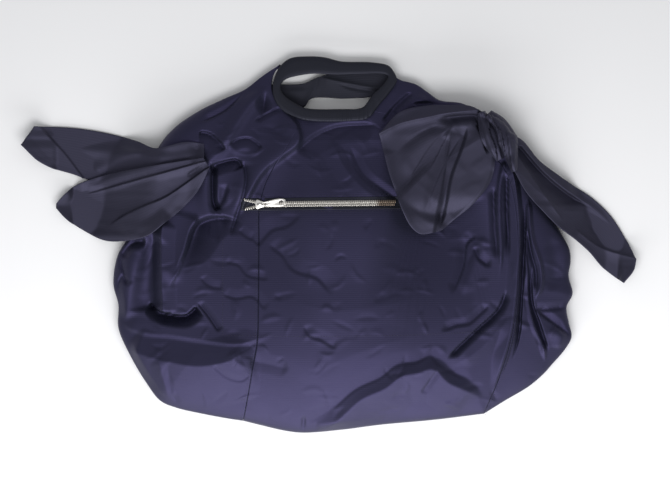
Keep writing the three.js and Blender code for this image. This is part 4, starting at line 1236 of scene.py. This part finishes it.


# painted shadow of the right tail over the last teeth of the zip, a dark brown
TAIL_SHADOW_END = {"from": 374.0, "over": 6.0, "colour": (0.20, 0.155, 0.12, 1.0)}
nickel = metal("nickel", (0.62, 0.60, 0.58, 1.0), (0.86, 0.84, 0.81, 1.0))
teeth_metal = metal("teeth_metal", (0.50, 0.47, 0.43, 1.0), (0.78, 0.75, 0.70, 1.0), TAIL_SHADOW_END)
print("metals:", nickel.name, teeth_metal.name)

# %% Tape
ZIP = {"from": 245.0, "split": 258.0, "to": 397.0, "left_y": 204.6, "right_y": 202.8, "parting": 3.4}
TOOTH = {"pitch": 2.0, "length": 3.1, "width": 1.15, "height": 1.3, "mesh": 1.3}
TAPE = {"half": 6.2, "before": 4, "past": 5, "lift": 0.25, "hem": 1.6, "hem_lift": 0.1, "thickness": 0.0004}


def zip_y(x):
    return mix(ZIP["left_y"], ZIP["right_y"], (x - ZIP["from"]) / (ZIP["to"] - ZIP["from"]))


def cloth_under(x, y):
    """Height of the front cloth under places of the zip."""
    xy = np.stack(np.broadcast_arrays(np.asarray(x, float), np.asarray(y, float)), axis=-1)
    return front_height(xy.reshape(-1, 2), FRONT_FOLDS).reshape(xy.shape[:-1])


tape_x = np.linspace(ZIP["from"] - TAPE["before"], ZIP["to"] + TAPE["past"], 220)[None]
tape_across = np.linspace(-TAPE["half"], TAPE["half"], 17)[:, None]
tape_grid = np.stack(np.broadcast_arrays(tape_x, zip_y(tape_x) + tape_across), axis=-1)
tape_hem = TAPE["hem_lift"] * (np.abs(tape_across) > TAPE["half"] - TAPE["hem"])
tape_z = cloth_under(tape_grid[..., 0], tape_grid[..., 1]) + TAPE["lift"] + tape_hem
tape = cloth_piece(
    "zip_tape", spot(tape_grid[..., 0], tape_grid[..., 1], tape_z), tape_grid * MM, band_cloth,
    ["zip_chain"], thickness=TAPE["thickness"],
)


# %% Teeth
TEETH_REACH = 3
TEETH_CLEARANCE = 0.8
SMOOTH_BELOW = math.radians(35)


def set_vertices(piece, places):
    piece.data.vertices.foreach_set("co", np.asarray(places, float).ravel())
    piece.data.update()


def finished(piece, material, nodes):
    """Gives a hard piece its place at the origin, its finish and its body."""
    select_only(piece)
    bpy.ops.object.transform_apply(location=True, rotation=True, scale=True)
    piece.data.materials.clear()
    piece.data.materials.append(material)
    bpy.ops.object.shade_smooth_by_angle(angle=SMOOTH_BELOW)
    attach(piece, "root")
    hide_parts(*nodes)
    print(piece.name, len(piece.data.polygons), "faces")
    return piece


def zip_height(x):
    """Underside of the teeth, which stay clear of the cloth across their width."""
    sides = [cloth_under(x, zip_y(x) + step) for step in (-TEETH_REACH, 0, TEETH_REACH)]
    return np.max(sides, axis=0) + TEETH_CLEARANCE


def tooth_row(name, side):
    """One row of teeth: copies of one block, moved along the zip and turned away where the rows part."""
    first = ZIP["from"] + (0.0 if side < 0 else TOOTH["pitch"] / 2)
    count = int((ZIP["to"] - first) / TOOTH["pitch"])
    bpy.ops.mesh.primitive_cube_add(size=1)
    row = bpy.context.object
    row.name = name
    row.scale = np.array([TOOTH["width"], TOOTH["length"], TOOTH["height"]]) * MM
    bpy.ops.object.transform_apply(location=False, rotation=False, scale=True)
    apply_modifier(row, "BEVEL", width=0.3 * MM, segments=2)
    apply_modifier(
        row, "ARRAY", count=count, use_relative_offset=False, use_constant_offset=True,
        constant_offset_displace=(TOOTH["pitch"] * MM, 0, 0),
    )
    place = np.array([v.co for v in row.data.vertices])
    index = np.rint(place[:, 0] / (TOOTH["pitch"] * MM))
    x = first + index * TOOTH["pitch"]
    parted = np.clip((ZIP["split"] - x) / (ZIP["split"] - ZIP["from"]), 0, 1)
    y = zip_y(x) + side * (TOOTH["mesh"] + ZIP["parting"] * parted**0.8)
    lean = side * 0.5 * parted
    local = place - np.stack([index * TOOTH["pitch"] * MM, 0 * x, 0 * x], axis=1)
    turned = local.copy()
    turned[:, 0] = local[:, 0] * np.cos(lean) + local[:, 1] * np.sin(lean)
    turned[:, 1] = local[:, 1] * np.cos(lean) - local[:, 0] * np.sin(lean)
    set_vertices(row, spot(x, y, zip_height(x) + TOOTH["height"] / 2) + turned)
    return finished(row, teeth_metal, ["zip_chain"])


teeth = [tooth_row("zip_teeth_upper", -1), tooth_row("zip_teeth_lower", 1)]

# %% [markdown]
# ### Slider and puller
#
# The slider is two shield-shaped plates joined at their wide end, with a bridge on top. The puller is a tab
# that widens to a round end with a hole, and its eye hangs on the bridge.

# %% Slider
SLIDER_X = 260.0
SLIDER_Z = float(zip_height(np.array([SLIDER_X])).max())
SLIDER_HALF_LENGTH = 4.6
SLIDER_WIDE, SLIDER_NARROW = 5.0, 3.1


def shield_plate(name, z, thickness):
    """A cylinder whose sides are moved to the outline of the slider."""
    bpy.ops.mesh.primitive_cylinder_add(vertices=48, radius=1, depth=thickness * MM)
    plate = bpy.context.object
    plate.name = name
    place = np.array([v.co for v in plate.data.vertices])
    along_x, angle = place[:, 0], np.arctan2(place[:, 1], place[:, 0])
    half = mix(SLIDER_WIDE, SLIDER_NARROW, smoothstep(along_x, -0.5, 0.35))
    square = np.sign(np.sin(angle)) * np.abs(np.sin(angle)) ** 0.5
    place[:, 0] = np.sign(np.cos(angle)) * np.abs(np.cos(angle)) ** 0.7 * SLIDER_HALF_LENGTH * MM
    place[:, 1] = square * half * MM
    set_vertices(plate, place + spot(SLIDER_X, zip_y(SLIDER_X), z))
    apply_modifier(plate, "BEVEL", width=0.28 * MM, segments=2, limit_method="ANGLE")
    return plate


def join(pieces):
    bpy.ops.object.select_all(action="DESELECT")
    for piece in pieces:
        piece.select_set(True)
    bpy.context.view_layer.objects.active = pieces[0]
    bpy.ops.object.join()
    return bpy.context.object


top_z = SLIDER_Z + TOOTH["height"] + 0.75
plates = [shield_plate("zip_slider_body", top_z, 1.0), shield_plate("lower_plate", SLIDER_Z - 0.45, 0.6)]
bpy.ops.mesh.primitive_cylinder_add(vertices=24, radius=1.0 * MM, depth=(top_z - SLIDER_Z + 0.6) * MM)
post = bpy.context.object
post.location = spot(SLIDER_X - 3.2, zip_y(SLIDER_X), (top_z + SLIDER_Z - 0.5) / 2)
bpy.ops.mesh.primitive_torus_add(major_radius=2.6 * MM, minor_radius=0.72 * MM, major_segments=40, minor_segments=14)
bridge = bpy.context.object
bridge.location = spot(SLIDER_X + 0.2, zip_y(SLIDER_X), top_z + 0.3)
bridge.rotation_euler = (math.pi / 2, 0, 0)
bridge.scale = (1.0, 1.0, 1.35)
for piece in (post, bridge):
    select_only(piece)
    bpy.ops.object.transform_apply(location=True, rotation=True, scale=True)
slider = finished(join([plates[0], plates[1], post, bridge]), nickel, ["zip_slider"])

# %% Puller
PULLER = {"length": 25.0, "root": 3.6, "end": 4.3, "thickness": 1.2, "turn": 5.5, "hole": 2.2}


def boolean(piece, other, operation):
    apply_modifier(piece, "BOOLEAN", object=other, operation=operation, solver="EXACT")
    bpy.data.objects.remove(other)


bpy.ops.mesh.primitive_cylinder_add(vertices=64, radius=1, depth=PULLER["thickness"] * MM)
puller = bpy.context.object
puller.name = "zip_puller_tab"
place = np.array([v.co for v in puller.data.vertices])
unit_x = place[:, 0]
half_width = mix(PULLER["root"] * 0.62, PULLER["end"], smoothstep(unit_x, -1.0, 0.75))
angle = np.arctan2(place[:, 1], unit_x)
place[:, 1] = np.sign(np.sin(angle)) * np.abs(np.sin(angle)) ** 0.42 * half_width * MM
place[:, 0] = (unit_x * 0.5 + 0.5) * PULLER["length"] * MM
set_vertices(puller, place)
for at_x, radius, stretch in ((PULLER["length"] - 4.4, PULLER["hole"], 1.0), (3.4, 1.25, 1.9)):
    bpy.ops.mesh.primitive_cylinder_add(vertices=32, radius=radius * MM, depth=8 * MM, location=(at_x * MM, 0, 0))
    hole = bpy.context.object
    hole.scale = (stretch, 1, 1)
    select_only(hole)
    bpy.ops.object.transform_apply(location=True, rotation=True, scale=True)
    boolean(puller, hole, "DIFFERENCE")
apply_modifier(puller, "BEVEL", width=0.25 * MM, segments=2, limit_method="ANGLE")
puller.location = spot(SLIDER_X + 1.0, zip_y(SLIDER_X), top_z + 1.5)
puller.rotation_euler = (0, 0, math.radians(PULLER["turn"]))
puller = finished(puller, nickel, ["zip_puller"])

# %% [markdown]
# ## Seams and topstitching
#
# The seam allowances are pressed to one side and stitched down, so each seam has a row of stitches beside it.
# The same thread holds the pocket bag, whose left side and bottom show as faint rows on the front. A stitch is
# one small diamond of eight faces, because there are hundreds of them.

# %% Stitches
STITCH = {"pitch": 2.7, "length": 2.0, "width": 0.42, "height": 0.3, "dip": 0.05}
THREAD_SCALE = 900.0
THREAD_DARK, THREAD_LIGHT = (0.018, 0.017, 0.03, 1.0), (0.045, 0.043, 0.07, 1.0)
thread = Shader("thread")
thread_twist = thread.noise(thread.node("ShaderNodeTexCoord", {}, output="Object"), THREAD_SCALE)
thread.set(Base_Color=thread.colours(thread_twist, THREAD_DARK, THREAD_LIGHT), Roughness=0.6)


def stitches(name, rows, height_at):
    """Short threads along lines of the layout, each one a slim diamond that dips into the cloth at both ends."""
    verts, faces = [], []
    for points, gap in rows:
        line = beside(smooth_line(points, step=STITCH["pitch"]), gap)
        direction = np.gradient(line, axis=0)
        direction /= np.linalg.norm(direction, axis=1)[:, None]
        half_length, half_wide, dip = STITCH["length"] / 2, STITCH["width"] / 2, STITCH["dip"]
        for (x, y), (dx, dy), height in zip(line, direction, height_at(line)):
            corners = [
                (x - dx * half_length, y - dy * half_length, height - dip),
                (x - dy * half_wide, y + dx * half_wide, height + dip),
                (x + dx * half_length, y + dy * half_length, height - dip),
                (x + dy * half_wide, y - dx * half_wide, height + dip),
                (x, y, height + STITCH["height"]),
                (x, y, height - STITCH["height"] / 2),
            ]
            base = len(verts)
            verts += [spot(*corner) for corner in corners]
            for a, b in ((0, 1), (1, 2), (2, 3), (3, 0)):
                faces += [(base + b, base + a, base + 4), (base + a, base + b, base + 5)]
    mesh = bpy.data.meshes.new(name)
    mesh.from_pydata([tuple(v) for v in verts], [], faces)
    mesh.materials.append(thread.material)
    piece = bpy.data.objects.new(name, mesh)
    bpy.context.scene.collection.objects.link(piece)
    fix = bmesh.new()
    fix.from_mesh(mesh)
    bmesh.ops.recalc_face_normals(fix, faces=fix.faces)
    fix.to_mesh(mesh)
    fix.free()
    mesh.polygons.foreach_set("use_smooth", np.ones(len(mesh.polygons), bool))
    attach(piece, "root")
    print(name, len(faces) // 8, "stitches")
    return piece


POCKET_LEFT = [(223, 240), (223, 290), (223, 334)]
POCKET_BOTTOM = [(224, 335), (300, 336), (400, 335), (470, 332), (500, 330)]
ZIP_ABOVE = [(241, 196.6), (320, 195.8), (402, 194.8)]
ZIP_BELOW = [(241, 212.4), (320, 211.6), (402, 210.6)]
SEAM_ROW = 2.2
STITCH_ROWS = [
    (POCKET_LEFT, 0), (POCKET_BOTTOM, 0), (ZIP_ABOVE, 0), (ZIP_BELOW, 0),
    (SEAM_LEFT[3:], -SEAM_ROW), (SEAM_RIGHT[4:], SEAM_ROW),
]
front_stitches = stitches("front_stitches", STITCH_ROWS, lambda line: front_height(line, ALL_FOLDS))

# %% [markdown]
# ## The table
#
# The bag lies on a white table without an edge or a pattern, so a plain sheet of matt white stands for it.

# %% Table
TABLE_SIZE = 12
TABLE_DROP = 0.0005
TABLE_WHITE = (0.85, 0.85, 0.865, 1.0)

bpy.ops.mesh.primitive_plane_add(size=TABLE_SIZE, location=(0, 0, -TABLE_DROP))
table = bpy.context.object
table.name = "table"
white = Shader("white_table")
white.set(Base_Color=TABLE_WHITE, Roughness=0.6)
table.data.materials.append(white.material)
print("the table is", TABLE_SIZE, "m wide")

# %% [markdown]
# ## What each cloth was cut to
#
# Every piece is a flat cut that was laid, gathered or folded. The list gives the cut's width and length and its
# own flat area, all in metres, and what the piece lies on. The photograph shows no flat size, so the widths and
# lengths are estimates round the outlines, and the areas are those of the folded pieces, because cloth keeps its
# area when it is folded.

# %% Sheets
Sheet = namedtuple("Sheet", "piece width length area held rests_on parts", defaults=((),))
